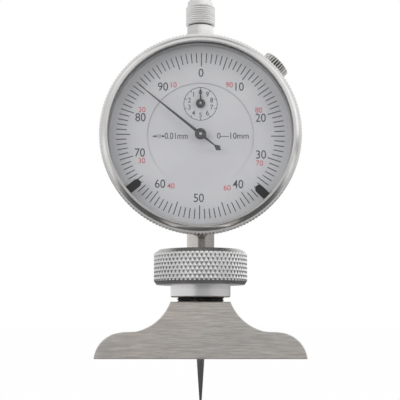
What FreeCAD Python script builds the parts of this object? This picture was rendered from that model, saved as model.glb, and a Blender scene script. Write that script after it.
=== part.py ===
"""Dial depth gauge: a ten millimetre dial gauge clamped by its stem in a depth base.

Millimetres, +Z up. The origin is the centre of the base's measuring face, on the spindle's axis.
The dial faces -Y. The spindle is drawn fully out, where its return spring holds it.
"""
import FreeCAD, Part
import math
import os

# Depth base
BASE_LENGTH = 60.0
BASE_THICKNESS = 16.0
BASE_HEIGHT = 16.0
BASE_TOP_WIDTH = 17.0
WING_HEIGHT = 7.35
WING_END_RADIUS = 8.05
WING_FLAT = 0.95
BASE_EDGE = 0.25
NEEDLE_BORE_DIAMETER = 6.0

# Collet, screwed into the base, and the clamp nut on its thread
SPIGOT_DIAMETER = 12.0
SPIGOT_LENGTH = 8.0
COLLET_EXPOSED = 1.4
COLLET_THREAD_DIAMETER = 13.6
COLLET_NOSE_DIAMETER = 10.6
COLLET_TAPER_LENGTH = 4.5
COLLET_SLOT_WIDTH = 0.9
COLLET_SLOT_DEPTH = 9.5
NUT_DIAMETER = 27.2
NUT_TOP_DIAMETER = 24.0
NUT_TOP_CHAMFER = 1.1
NUT_LOWER_DIAMETER = 25.6
NUT_LOWER_CHAMFER = 1.0
NUT_NECK_DIAMETER = 17.4
NUT_NECK_HEIGHT = 3.6
NUT_BODY_HEIGHT = 10.1
NUT_ROOF = 1.3
THREAD_CLEARANCE = 0.07
NUT_HOLE_CLEARANCE = 0.3
NUT_TIGHTENING_ROOM = 0.3
COLLET_THREAD_BEVEL = 0.6
CUT_EDGE = 0.3

# Stem, spindle and what is screwed to the spindle's ends
STEM_DIAMETER = 8.0
STEM_BORE_DIAMETER = 5.0
STEM_SHOWN = 3.9
STEM_INSERTION = 16.1
STEM_IN_CASE = 5.9
SLIDE_DOWN = 3.0
BUSH_LENGTH = 6.0
SLEEVE_DIAMETER = 7.9
SLEEVE_SHOWN = 5.0
SPINDLE_DIAMETER = 4.0
TRAVEL = 10.0
SPINDLE_BELOW_STEM = 1.8
CONTACT_THREAD_DIAMETER = 2.5
CONTACT_THREAD_LENGTH = 4.5
NEEDLE_COLLAR_LENGTH = 2.2
NEEDLE_TOP_DIAMETER = 2.4
NEEDLE_TIP_RADIUS = 0.25
NEEDLE_LENGTH = 14.5
CAP_DIAMETER = 8.7
CAP_KNURL_LENGTH = 5.8
CAP_NECK_DIAMETER = 7.6
CAP_NECK_LENGTH = 1.5
CAP_TOP_DIAMETER = 5.3
CAP_RECESS_DEPTH = 0.9
RUNNING_CLEARANCE = 0.03
SEAT_CLEARANCE = 0.02
STOP_GAP = 0.1
TIP_ROOM = 0.4
BUSH_INSET = 0.3

# Bezel, crystal and dial; the depths are counted forward from the dial ring's face
BEZEL_RADIUS = 29.0
BEZEL_SKIRT_WALL = 1.04
BEZEL_CLEARANCE = 0.06
BEZEL_LIP_DEPTH = 2.4
BEZEL_LIP_DROP = 1.5
BEZEL_SLOPE_DEPTH = 2.3
BEZEL_KNURL_LENGTH = 5.0
BEZEL_REAR_DROP = 0.7
BEZEL_STEM_GAP = 0.4
CASE_RIM_WALL = 1.05
DIAL_RUNNING_GAP = 0.1
SPACER_WALL = 0.35
MARKER_GROOVE_DEPTH = 0.7
CRYSTAL_THICKNESS = 1.2
CRYSTAL_STANDOFF = 4.6
DIAL_THICKNESS = 0.35
DIAL_WINDOW_RADIUS = 15.5
CENTRE_DIAL_RADIUS = 17.0
CENTRE_DIAL_THICKNESS = 0.4
SNAP_RING_STANDOFF = 1.5
SNAP_RING_SIZE = 0.5
SNAP_RING_PROUD = 0.25
SNAP_RING_PLAY = 0.05
BEZEL_GROOVE_DEPTH = 0.3
BEZEL_NECK_DROP = 0.75
BEZEL_LIP_BEVEL = 0.4
SNAP_RING_SPAN_DEG = 345.0

# Case and back cover
CASE_WALL = 2.0
CASE_REAR_Y = 7.0
CASE_STEP_DROP = 0.7
BACK_COVER_THICKNESS = 1.4
BACK_COVER_INSET = 0.4
STEM_BOSS_DIAMETER = 10.0
STEM_BOSS_DEPTH = 4.4
POST_RADIUS = 2.3
POST_FROM_WALL = 1.9
POST_ANGLES_DEG = (30, 150, 210, 330)
PLATE_CLEARANCE = 0.3

# Limit markers
MARKER_WIDTH = 2.35
MARKER_LENGTH = 4.3
MARKER_THICKNESS = 0.4
MARKER_FOOT_SPAN_DEG = 9.0
MARKER_FOOT_WIDTH = 0.45
MARKER_GAP = 0.12
MARKER_SIDE_GAP = 0.05
MARKER_LEFT_DEG = 219.2
MARKER_RIGHT_DEG = -44.5

# Bezel clamp screw, on a radius of the dial
CLAMP_DEG = 45.0
CLAMP_KNOB_DIAMETER = 8.6
CLAMP_KNOB_REACH = 3.5
CLAMP_KNOB_LENGTH = 3.5
CLAMP_SHANK_DIAMETER = 3.0
CLAMP_SHANK_LENGTH = 3.8
CLAMP_SHOE_THICKNESS = 0.5
CLAMP_SHOE_WIDTH = 7.2
CLAMP_PAD_WIDTH = 9.2
CLAMP_PAD_ABOVE_SKIRT = 0.08
CLAMP_HOLE_CLEARANCE = 0.05
CLAMP_SHOE_INSET = 0.2

# Gear train
RACK_PITCH = 0.625
RACK_LINE_X = -1.6
PINION_TEETH = 16
WHEEL_TEETH = 100
CENTRE_TEETH = 10
WHEEL_MODULE = 0.17
TOOTH_SHARE = 0.92
PRESSURE_ANGLE = math.radians(20.0)
WHEEL_THICKNESS = 0.5
WHEEL_RIM_WIDTH = 1.3
WHEEL_HUB_RADIUS = 2.3
WHEEL_SPOKE_WIDTH = 1.3
RACK_PINION_LENGTH = 2.6
CENTRE_PINION_LENGTH = 1.0
PIVOT_RADIUS = 0.35
PIVOT_CLEARANCE = 0.03
END_PLAY = 0.05
ARBOR_RADIUS = 0.7
ARBOR_FRONT_RADIUS = 0.5
DEDENDUM = 1.25

# Movement plates, as thicknesses and gaps along Y
PLATE_BEHIND_SPINDLE = 0.3
MAIN_PLATE_THICKNESS = 0.8
BRIDGE_THICKNESS = 0.6
MOVEMENT_DEPTH = 1.45
WHEEL_GAP = 0.35
BRIDGE_RADIUS = 16.0
PILLAR_RADIUS = 1.3
PILLAR_CIRCLE_RADIUS = 13.6
PILLAR_ANGLES_DEG = (28, 170, 312)
COCK_THICKNESS = 0.8
COCK_GAP = 0.5
COCK_ARM = 6.3
COCK_FOOT_WIDTH = 3.4
COCK_FOOT_LENGTH = 8.0

# Guide pin and block, return spring, hairspring
GUIDE_PIN_HEIGHT = 6.0
GUIDE_PIN_RADIUS = 0.6
GUIDE_PIN_ROOT = 0.1
GUIDE_PIN_REACH = 7.2
GUIDE_BLOCK_NEAR_X = 2.8
GUIDE_BLOCK_FAR_X = 5.2
GUIDE_BLOCK_DEPTH = 4.3
GUIDE_BLOCK_END = 2.4
GUIDE_SLOT_ROOM = 0.25
GUIDE_SLOT_CLEARANCE = 0.05
SPRING_HOOK_X = 6.75
SPRING_POST_DROP = 23.5
SPRING_DIAMETER = 2.6
SPRING_WIRE_DIAMETER = 0.4
SPRING_EYE_CLEARANCE = 0.05
SPRING_NECK = 0.4
SPRING_POST_LIP = 0.3
SPRING_POST_HEAD = 0.5
SPRING_EYE_ROOM = 0.2
HAIRSPRING_INNER_RADIUS = 1.25
HAIRSPRING_PITCH = 1.0
HAIRSPRING_TURNS = 3
HAIRSPRING_COLLET_GAP = 0.15
HAIRSPRING_STUD_SIZE = 0.9
HAIRSPRING_STRIP = 0.12
HAIRSPRING_WIDTH = 0.3

# Pointers
POINTER_TIP_GAP = 3.85
POINTER_TAIL_RADIUS = 7.6
POINTER_THICKNESS = 0.18
POINTER_STANDOFF = 2.2
POINTER_HUB_RADIUS = 1.65
POINTER_ROOT_WIDTH = 0.9
POINTER_TIP_WIDTH = 0.2
POINTER_REST_DEG = 309.1
COUNTER_POINTER_LENGTH = 4.05
COUNTER_POINTER_STANDOFF = 0.5
COUNTER_HUB_RADIUS = 1.23
COUNTER_ROOT_WIDTH = 0.6
COUNTER_TIP_WIDTH = 0.3
HUB_HEAD = 0.45
HUB_ROOF = 0.15
POINTER_EYE_WALL = 0.8
ARROW_LENGTH = 2.25
ARROW_WIDTH = 1.7
ARROW_ROOT_WIDTH = 0.6
DIAL_HOLE_CLEARANCE = 0.4

# Heights and radii that follow from the sizes above
NUT_BOTTOM_Z = BASE_HEIGHT + COLLET_EXPOSED
NUT_BODY_Z = NUT_BOTTOM_Z + NUT_NECK_HEIGHT
NUT_TOP_Z = NUT_BODY_Z + NUT_BODY_HEIGHT
DIAL_Z = NUT_TOP_Z + STEM_SHOWN + BEZEL_RADIUS
STEM_RADIUS = STEM_DIAMETER / 2
SPINDLE_RADIUS = SPINDLE_DIAMETER / 2
STEM_END_Z = NUT_TOP_Z - STEM_INSERTION
SPINDLE_END_Z = STEM_END_Z - TRAVEL - SPINDLE_BELOW_STEM
BEZEL_BORE_RADIUS = BEZEL_RADIUS - BEZEL_SKIRT_WALL
BEZEL_REAR_RADIUS = BEZEL_RADIUS - BEZEL_REAR_DROP
BEZEL_LIP_OUTER_RADIUS = BEZEL_RADIUS - BEZEL_LIP_DROP
CASE_RADIUS = BEZEL_BORE_RADIUS - BEZEL_CLEARANCE
CASE_RIM_RADIUS = CASE_RADIUS - CASE_RIM_WALL
CASE_INNER_RADIUS = CASE_RADIUS - CASE_WALL
POST_CIRCLE_RADIUS = CASE_INNER_RADIUS - POST_FROM_WALL
CRYSTAL_RADIUS = CASE_RIM_RADIUS - DIAL_RUNNING_GAP
BEZEL_WINDOW_RADIUS = CRYSTAL_RADIUS - SPACER_WALL
POINTER_TIP_RADIUS = CRYSTAL_RADIUS - POINTER_TIP_GAP
STEM_TOP_Z = DIAL_Z - CASE_RADIUS + STEM_IN_CASE
SLEEVE_FOOT_Z = DIAL_Z + CASE_RADIUS - STEM_IN_CASE
SLEEVE_TOP_Z = DIAL_Z + BEZEL_RADIUS + SLEEVE_SHOWN
CAP_BOTTOM_Z = SLEEVE_TOP_Z + STOP_GAP
SPINDLE_SHOULDER_Z = CAP_BOTTOM_Z + CAP_RECESS_DEPTH
MAIN_PLATE_REAR_Y = -SPINDLE_RADIUS - PLATE_BEHIND_SPINDLE
MAIN_PLATE_FRONT_Y = MAIN_PLATE_REAR_Y - MAIN_PLATE_THICKNESS
WHEEL_REAR_Y = MAIN_PLATE_FRONT_Y - WHEEL_GAP
WHEEL_FRONT_Y = WHEEL_REAR_Y - WHEEL_THICKNESS
BRIDGE_REAR_Y = MAIN_PLATE_FRONT_Y - MOVEMENT_DEPTH
BRIDGE_FRONT_Y = BRIDGE_REAR_Y - BRIDGE_THICKNESS
CENTRE_DIAL_FRONT_Y = BRIDGE_FRONT_Y - CENTRE_DIAL_THICKNESS
DIAL_FACE_Y = CENTRE_DIAL_FRONT_Y - DIAL_RUNNING_GAP - DIAL_THICKNESS
COUNTER_POINTER_PLANE_Y = DIAL_FACE_Y - COUNTER_POINTER_STANDOFF
POINTER_PLANE_Y = DIAL_FACE_Y - POINTER_STANDOFF
CRYSTAL_FRONT_Y = DIAL_FACE_Y - CRYSTAL_STANDOFF
CRYSTAL_REAR_Y = CRYSTAL_FRONT_Y + CRYSTAL_THICKNESS
CASE_FRONT_Y = CRYSTAL_REAR_Y + DIAL_RUNNING_GAP
CASE_STEP_Y = DIAL_FACE_Y + CASE_STEP_DROP
BEZEL_FRONT_Y = CRYSTAL_FRONT_Y - BEZEL_LIP_DEPTH
BEZEL_KNURL_FRONT_Y = BEZEL_FRONT_Y + BEZEL_SLOPE_DEPTH
BEZEL_KNURL_REAR_Y = BEZEL_KNURL_FRONT_Y + BEZEL_KNURL_LENGTH
BEZEL_REAR_Y = -STEM_RADIUS - BEZEL_STEM_GAP
SNAP_RING_Y = DIAL_FACE_Y - SNAP_RING_STANDOFF
COCK_FRONT_Y = SPINDLE_RADIUS + COCK_GAP
COCK_REAR_Y = COCK_FRONT_Y + COCK_THICKNESS
WHEEL_DISTANCE = WHEEL_MODULE * (WHEEL_TEETH + CENTRE_TEETH) / 2
RACK_MODULE = RACK_PITCH / math.pi
RACK_PINION_X = RACK_LINE_X - RACK_MODULE * PINION_TEETH / 2
RACK_PINION_Z = DIAL_Z - math.sqrt(WHEEL_DISTANCE ** 2 - RACK_PINION_X ** 2)
COUNTER_Z = DIAL_Z + WHEEL_DISTANCE
GUIDE_PIN_Z = DIAL_Z + GUIDE_PIN_HEIGHT
GUIDE_SLOT_LOW_Z = GUIDE_PIN_Z - GUIDE_PIN_RADIUS - GUIDE_SLOT_ROOM
GUIDE_SLOT_HIGH_Z = GUIDE_PIN_Z + TRAVEL + GUIDE_PIN_RADIUS + GUIDE_SLOT_ROOM
SPRING_POST_Z = GUIDE_PIN_Z - SPRING_POST_DROP
SNAP_GROOVE_HALF_WIDTH = SNAP_RING_SIZE / 2 + 2 * SNAP_RING_PLAY
SNAP_RING_INNER_RADIUS = CASE_RADIUS + SNAP_RING_PROUD - SNAP_RING_SIZE
CLAMP_PAD_TOP = BEZEL_REAR_RADIUS + CLAMP_PAD_ABOVE_SKIRT
CLAMP_SHOE_TOP = CLAMP_PAD_TOP + SEAT_CLEARANCE + CLAMP_SHOE_THICKNESS
CLAMP_KNOB_FACE = BEZEL_RADIUS + CLAMP_KNOB_REACH


def vec(x, y, z):
    return FreeCAD.Vector(x, y, z)


ORIGIN = vec(0, 0, 0)
ALONG_X = vec(1, 0, 0)
ALONG_Y = vec(0, 1, 0)
ALONG_Z = vec(0, 0, 1)


def polygon_face(points):
    return Part.Face(Part.makePolygon(points + [points[0]]))


def turned_about_spindle(profile):
    """Body turned about the spindle's axis, from (radius, height) points."""
    face = polygon_face([vec(radius, 0, z) for radius, z in profile])
    return face.revolve(ORIGIN, ALONG_Z, 360)


def turned_about_dial(profile, span_deg=360):
    """Body turned about the dial's axis, from (radius, y) points."""
    face = polygon_face([vec(radius, y, DIAL_Z) for radius, y in profile])
    return face.revolve(vec(0, 0, DIAL_Z), ALONG_Y, span_deg)


def rod_y(x, z, radius, front_y, rear_y):
    """Round rod along Y between two depths."""
    return Part.makeCylinder(radius, rear_y - front_y, vec(x, front_y, z), ALONG_Y)


def rod_z(radius, low_z, high_z):
    """Round rod on the spindle's axis between two heights."""
    return Part.makeCylinder(radius, high_z - low_z, vec(0, 0, low_z), ALONG_Z)


def block(x_range, y_range, z_range):
    corner = vec(x_range[0], y_range[0], z_range[0])
    size_x = x_range[1] - x_range[0]
    size_y = y_range[1] - y_range[0]
    size_z = z_range[1] - z_range[0]
    return Part.makeBox(size_x, size_y, size_z, corner)


def around_dial(radius, angle_deg):
    """X and Z of a point around the dial's axis; 0 is +X and 90 is up."""
    angle = math.radians(angle_deg)
    return radius * math.cos(angle), DIAL_Z + radius * math.sin(angle)


def turned_to(shape, angle_deg):
    """Swing a shape drawn along +X round the dial's axis to its angle."""
    shape.rotate(vec(0, 0, DIAL_Z), ALONG_Y, -angle_deg)
    return shape


def group(shapes):
    return Part.makeCompound(shapes)


def arc_edge(centre_x, centre_z, radius, start_deg, end_deg, y):
    """Arc in a plane of constant Y, from its start angle to its end angle."""
    points = []
    for angle_deg in (start_deg, (start_deg + end_deg) / 2, end_deg):
        angle = math.radians(angle_deg)
        points.append(vec(centre_x + radius * math.cos(angle), y, centre_z + radius * math.sin(angle)))
    return Part.Arc(*points).toShape()


def mirrored_edge(edge):
    return edge.mirror(ORIGIN, ALONG_X)


def depth_base():
    """Block with a square crown that flares down to two rounded wings."""
    front_y = -BASE_THICKNESS / 2
    half_length = BASE_LENGTH / 2
    half_top = BASE_TOP_WIDTH / 2
    end_reach = math.sqrt(2 * WING_HEIGHT * WING_END_RADIUS - WING_HEIGHT ** 2)
    end_x = half_length - end_reach
    end_z = WING_HEIGHT - WING_END_RADIUS
    flare_x = end_x - WING_FLAT
    rise = BASE_HEIGHT - WING_HEIGHT
    flare_radius = ((flare_x - half_top) ** 2 + rise ** 2) / (2 * rise)
    flare_z = WING_HEIGHT + flare_radius
    flare_deg = math.degrees(math.atan2(BASE_HEIGHT - flare_z, half_top - flare_x))
    if flare_deg > 0:
        flare_deg -= 360
    end_deg = math.degrees(math.atan2(-end_z, end_reach))
    wing_end = arc_edge(end_x, end_z, WING_END_RADIUS, end_deg, 90, front_y)
    wing_flat = Part.makeLine(vec(end_x, front_y, WING_HEIGHT), vec(flare_x, front_y, WING_HEIGHT))
    flare = arc_edge(flare_x, flare_z, flare_radius, -90, flare_deg, front_y)
    right = [wing_end, wing_flat, flare]
    left = [mirrored_edge(edge) for edge in right]
    foot = Part.makeLine(vec(-half_length, front_y, 0), vec(half_length, front_y, 0))
    crown = Part.makeLine(vec(-half_top, front_y, BASE_HEIGHT), vec(half_top, front_y, BASE_HEIGHT))
    outline = Part.Wire(Part.__sortEdges__([foot] + right + [crown] + left))
    body = Part.Face(outline).extrude(vec(0, BASE_THICKNESS, 0))
    faces_edges = [edge for edge in body.Edges if abs(edge.BoundBox.YLength) < 1e-6]
    body = body.makeChamfer(BASE_EDGE, faces_edges)
    seat_z = BASE_HEIGHT - SPIGOT_LENGTH - STOP_GAP
    body = body.cut(rod_z(SPIGOT_DIAMETER / 2 + SEAT_CLEARANCE, seat_z, BASE_HEIGHT + 1))
    return body.cut(rod_z(NEEDLE_BORE_DIAMETER / 2, -1, BASE_HEIGHT))


def collet_outline():
    """Outer (radius, height) points of the collet above the base: thread, then taper."""
    top_z = NUT_TOP_Z - NUT_ROOF - NUT_TIGHTENING_ROOM
    taper_z = top_z - COLLET_TAPER_LENGTH
    return [
        (COLLET_THREAD_DIAMETER / 2, BASE_HEIGHT),
        (COLLET_THREAD_DIAMETER / 2, taper_z - COLLET_THREAD_BEVEL),
        (COLLET_THREAD_DIAMETER / 2 - COLLET_THREAD_BEVEL, taper_z),
        (COLLET_NOSE_DIAMETER / 2, top_z),
    ]


def collet():
    """Spigot in the base, thread for the nut, and four spring fingers with a tapered nose."""
    foot_z = BASE_HEIGHT - SPIGOT_LENGTH
    bore_radius = STEM_RADIUS + RUNNING_CLEARANCE
    bore_z = STEM_END_Z - SLIDE_DOWN - TIP_ROOM
    outline = collet_outline()
    top_z = outline[-1][1]
    profile = [(SPIGOT_DIAMETER / 2, foot_z), (SPIGOT_DIAMETER / 2, BASE_HEIGHT)] + outline
    profile += [(bore_radius, top_z), (bore_radius, bore_z)]
    profile += [(NEEDLE_BORE_DIAMETER / 2, bore_z), (NEEDLE_BORE_DIAMETER / 2, foot_z)]
    body = turned_about_spindle(profile)
    reach = COLLET_THREAD_DIAMETER
    half_slot = COLLET_SLOT_WIDTH / 2
    slot_z = (top_z - COLLET_SLOT_DEPTH, top_z + 1)
    body = body.cut(block((-reach, reach), (-half_slot, half_slot), slot_z))
    return body.cut(block((-half_slot, half_slot), (-reach, reach), slot_z))


def clamp_nut():
    """Knurled nut: threaded neck below, and a taper inside that closes the collet."""
    radius = NUT_DIAMETER / 2
    neck_radius = NUT_NECK_DIAMETER / 2
    roof_z = NUT_TOP_Z - NUT_ROOF
    stem_hole = STEM_RADIUS + NUT_HOLE_CLEARANCE
    outer = [
        (neck_radius - CUT_EDGE, NUT_BOTTOM_Z),
        (neck_radius, NUT_BOTTOM_Z + CUT_EDGE),
        (neck_radius, NUT_BODY_Z),
        (NUT_LOWER_DIAMETER / 2, NUT_BODY_Z),
        (radius, NUT_BODY_Z + NUT_LOWER_CHAMFER),
        (radius, NUT_TOP_Z - NUT_TOP_CHAMFER),
        (NUT_TOP_DIAMETER / 2, NUT_TOP_Z),
        (stem_hole, NUT_TOP_Z),
        (stem_hole, roof_z),
    ]
    seat = [(r + THREAD_CLEARANCE, z) for r, z in collet_outline()[1:]]
    inner = [(seat[2][0], roof_z), seat[2], seat[1], seat[0], (seat[0][0], NUT_BOTTOM_Z)]
    return turned_about_spindle(outer + inner)


def stem():
    """Ground tube that the collet grips; its top stands in the case."""
    radius = STEM_RADIUS
    bore = STEM_BORE_DIAMETER / 2
    profile = [
        (bore, STEM_END_Z),
        (radius - CUT_EDGE, STEM_END_Z),
        (radius, STEM_END_Z + CUT_EDGE),
        (radius, STEM_TOP_Z),
        (bore, STEM_TOP_Z),
    ]
    return turned_about_spindle(profile)


def bush(low_z):
    """Bearing bush for the spindle, pressed in a tube of the stem's bore."""
    outer = STEM_BORE_DIAMETER / 2 - SEAT_CLEARANCE
    inner = SPINDLE_RADIUS + RUNNING_CLEARANCE
    high_z = low_z + BUSH_LENGTH
    return turned_about_spindle([(inner, low_z), (outer, low_z), (outer, high_z), (inner, high_z)])


def upper_sleeve():
    """Tube on top of the case that guides the spindle's upper end."""
    radius = SLEEVE_DIAMETER / 2
    bore = STEM_BORE_DIAMETER / 2
    profile = [
        (bore, SLEEVE_FOOT_Z),
        (radius, SLEEVE_FOOT_Z),
        (radius, SLEEVE_TOP_Z - CUT_EDGE),
        (radius - CUT_EDGE, SLEEVE_TOP_Z),
        (bore, SLEEVE_TOP_Z),
    ]
    return turned_about_spindle(profile)


def rack_gap_face():
    """Everything outside the rack's teeth on the -X side of the spindle, as one toothed face."""
    tip_x = RACK_LINE_X - RACK_MODULE
    root_x = RACK_LINE_X + DEDENDUM * RACK_MODULE
    half_pitch_tooth = TOOTH_SHARE * RACK_PITCH / 4
    half_tip = half_pitch_tooth - RACK_MODULE * math.tan(PRESSURE_ANGLE)
    half_root = half_pitch_tooth + DEDENDUM * RACK_MODULE * math.tan(PRESSURE_ANGLE)
    reach = RACK_MODULE * (PINION_TEETH / 2 + 1)
    first = -math.ceil((TRAVEL + reach) / RACK_PITCH)
    last = math.ceil(reach / RACK_PITCH)
    outside_x = -SPINDLE_RADIUS - 1
    low_z = RACK_PINION_Z + first * RACK_PITCH - half_root
    high_z = RACK_PINION_Z + last * RACK_PITCH + half_root
    points = [vec(outside_x, -SPINDLE_RADIUS, low_z)]
    for tooth in range(first, last + 1):
        z = RACK_PINION_Z + tooth * RACK_PITCH
        points.append(vec(root_x, -SPINDLE_RADIUS, z - half_root))
        points.append(vec(tip_x, -SPINDLE_RADIUS, z - half_tip))
        points.append(vec(tip_x, -SPINDLE_RADIUS, z + half_tip))
        points.append(vec(root_x, -SPINDLE_RADIUS, z + half_root))
    points.append(vec(outside_x, -SPINDLE_RADIUS, high_z))
    return polygon_face(points)


def spindle():
    """Measuring spindle with its rack, guide pin hole and threaded ends."""
    thread_radius = CONTACT_THREAD_DIAMETER / 2
    hole_radius = thread_radius + SEAT_CLEARANCE
    profile = [
        (0, SPINDLE_END_Z + CONTACT_THREAD_LENGTH + TIP_ROOM),
        (hole_radius, SPINDLE_END_Z + CONTACT_THREAD_LENGTH + TIP_ROOM),
        (hole_radius, SPINDLE_END_Z),
        (SPINDLE_RADIUS, SPINDLE_END_Z),
        (SPINDLE_RADIUS, SPINDLE_SHOULDER_Z),
        (thread_radius, SPINDLE_SHOULDER_Z),
        (thread_radius, SPINDLE_SHOULDER_Z + CONTACT_THREAD_LENGTH),
        (0, SPINDLE_SHOULDER_Z + CONTACT_THREAD_LENGTH),
    ]
    body = turned_about_spindle(profile)
    body = body.cut(rack_gap_face().extrude(vec(0, SPINDLE_DIAMETER, 0)))
    pin_hole = GUIDE_PIN_RADIUS + SEAT_CLEARANCE
    return body.cut(Part.makeCylinder(pin_hole, SPINDLE_DIAMETER, vec(0, 0, GUIDE_PIN_Z), ALONG_X))


def contact_needle():
    """Long cone with a blunt tip, a collar, and a thread up into the spindle."""
    collar_z = SPINDLE_END_Z - NEEDLE_COLLAR_LENGTH
    tip_z = collar_z - NEEDLE_LENGTH
    thread_radius = CONTACT_THREAD_DIAMETER / 2
    profile = [
        (0, tip_z),
        (NEEDLE_TIP_RADIUS / 2, tip_z),
        (NEEDLE_TIP_RADIUS, tip_z + NEEDLE_TIP_RADIUS),
        (NEEDLE_TOP_DIAMETER / 2, collar_z),
        (SPINDLE_RADIUS, collar_z),
        (SPINDLE_RADIUS, SPINDLE_END_Z),
        (thread_radius, SPINDLE_END_Z),
        (thread_radius, SPINDLE_END_Z + CONTACT_THREAD_LENGTH),
        (0, SPINDLE_END_Z + CONTACT_THREAD_LENGTH),
    ]
    return turned_about_spindle(profile)


def lift_cap():
    """Finger cap on the spindle's top; it stops on the sleeve when the spindle is out."""
    radius = CAP_DIAMETER / 2
    neck_radius = CAP_NECK_DIAMETER / 2
    top_radius = CAP_TOP_DIAMETER / 2
    knurl_top_z = CAP_BOTTOM_Z + CAP_KNURL_LENGTH
    neck_top_z = knurl_top_z + CAP_NECK_LENGTH
    bevel = neck_radius - top_radius
    thread_radius = CONTACT_THREAD_DIAMETER / 2 + SEAT_CLEARANCE
    recess_radius = SPINDLE_RADIUS + SEAT_CLEARANCE
    hole_top_z = SPINDLE_SHOULDER_Z + CONTACT_THREAD_LENGTH + TIP_ROOM
    profile = [
        (recess_radius, CAP_BOTTOM_Z),
        (radius - CUT_EDGE, CAP_BOTTOM_Z),
        (radius, CAP_BOTTOM_Z + CUT_EDGE),
        (radius, knurl_top_z - CUT_EDGE),
        (radius - CUT_EDGE, knurl_top_z),
        (neck_radius, knurl_top_z),
        (neck_radius, neck_top_z),
        (top_radius, neck_top_z + bevel),
        (0, neck_top_z + bevel),
        (0, hole_top_z),
        (thread_radius, hole_top_z),
        (thread_radius, SPINDLE_SHOULDER_Z),
        (recess_radius, SPINDLE_SHOULDER_Z),
    ]
    return turned_about_spindle(profile)


def guide_pin():
    """Cross pin that keeps the spindle from turning and carries the return spring's eye."""
    start = vec(GUIDE_PIN_ROOT, 0, GUIDE_PIN_Z)
    length = GUIDE_PIN_REACH - GUIDE_PIN_ROOT
    return Part.makeCylinder(GUIDE_PIN_RADIUS, length, start, ALONG_X)


def clamp_frame(length_range, half_width, y_range):
    """Block along the clamp screw's radius."""
    shape = block(length_range, y_range, (DIAL_Z - half_width, DIAL_Z + half_width))
    return turned_to(shape, CLAMP_DEG)


def clamp_rod(radius, near, far):
    """Round rod along the clamp screw's radius."""
    shape = Part.makeCylinder(radius, far - near, vec(near, 0, DIAL_Z), ALONG_X)
    return turned_to(shape, CLAMP_DEG)


def case():
    """Cast ring with bosses for stem and sleeve, four screw posts and the clamp screw's pad."""
    groove_floor = SNAP_RING_INNER_RADIUS - SNAP_RING_PLAY
    ring = turned_about_dial([
        (CASE_RIM_RADIUS, CASE_FRONT_Y),
        (CASE_RADIUS, CASE_FRONT_Y),
        (CASE_RADIUS, SNAP_RING_Y - SNAP_GROOVE_HALF_WIDTH),
        (groove_floor, SNAP_RING_Y - SNAP_GROOVE_HALF_WIDTH),
        (groove_floor, SNAP_RING_Y + SNAP_GROOVE_HALF_WIDTH),
        (CASE_RADIUS, SNAP_RING_Y + SNAP_GROOVE_HALF_WIDTH),
        (CASE_RADIUS, CASE_REAR_Y),
        (CASE_INNER_RADIUS, CASE_REAR_Y),
        (CASE_INNER_RADIUS, CASE_STEP_Y),
        (CASE_RIM_RADIUS, CASE_STEP_Y),
    ])
    boss_radius = STEM_BOSS_DIAMETER / 2
    wall_middle = CASE_INNER_RADIUS + CASE_WALL / 2
    boss_end = CASE_INNER_RADIUS - STEM_BOSS_DEPTH
    solid = ring.fuse(rod_z(boss_radius, DIAL_Z - wall_middle, DIAL_Z - boss_end))
    solid = solid.fuse(rod_z(boss_radius, DIAL_Z + boss_end, DIAL_Z + wall_middle))
    for angle_deg in POST_ANGLES_DEG:
        x, z = around_dial(POST_CIRCLE_RADIUS, angle_deg)
        solid = solid.fuse(rod_y(x, z, POST_RADIUS, MAIN_PLATE_REAR_Y, CASE_REAR_Y))
    pad_y = (BEZEL_REAR_Y + CLAMP_SHOE_INSET, CLAMP_KNOB_DIAMETER / 2)
    pad = clamp_frame((wall_middle, CLAMP_PAD_TOP), CLAMP_PAD_WIDTH / 2, pad_y)
    solid = solid.fuse(pad)
    solid = solid.cut(rod_z(STEM_RADIUS + RUNNING_CLEARANCE, STEM_END_Z, DIAL_Z - boss_end + 1))
    sleeve_hole = SLEEVE_DIAMETER / 2 + SEAT_CLEARANCE
    solid = solid.cut(rod_z(sleeve_hole, DIAL_Z + boss_end - 1, SLEEVE_TOP_Z))
    shank_hole = CLAMP_SHANK_DIAMETER / 2 + CLAMP_HOLE_CLEARANCE
    return solid.cut(clamp_rod(shank_hole, CASE_INNER_RADIUS - 2, CLAMP_PAD_TOP + 1))


def snap_ring():
    """Open spring ring in the case's groove that keeps the bezel on."""
    inner = SNAP_RING_INNER_RADIUS
    outer = CASE_RADIUS + SNAP_RING_PROUD
    front_y = SNAP_RING_Y - SNAP_RING_SIZE / 2
    rear_y = SNAP_RING_Y + SNAP_RING_SIZE / 2
    profile = [(inner, front_y), (outer, front_y), (outer, rear_y), (inner, rear_y)]
    return turned_about_dial(profile, SNAP_RING_SPAN_DEG)


def back_cover():
    """Flat cover on the case's rear edge and its four posts."""
    radius = CASE_RADIUS - BACK_COVER_INSET
    rear_y = CASE_REAR_Y + BACK_COVER_THICKNESS
    profile = [
        (0, CASE_REAR_Y),
        (radius, CASE_REAR_Y),
        (radius, rear_y - CUT_EDGE),
        (radius - CUT_EDGE, rear_y),
        (0, rear_y),
    ]
    return turned_about_dial(profile)


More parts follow.
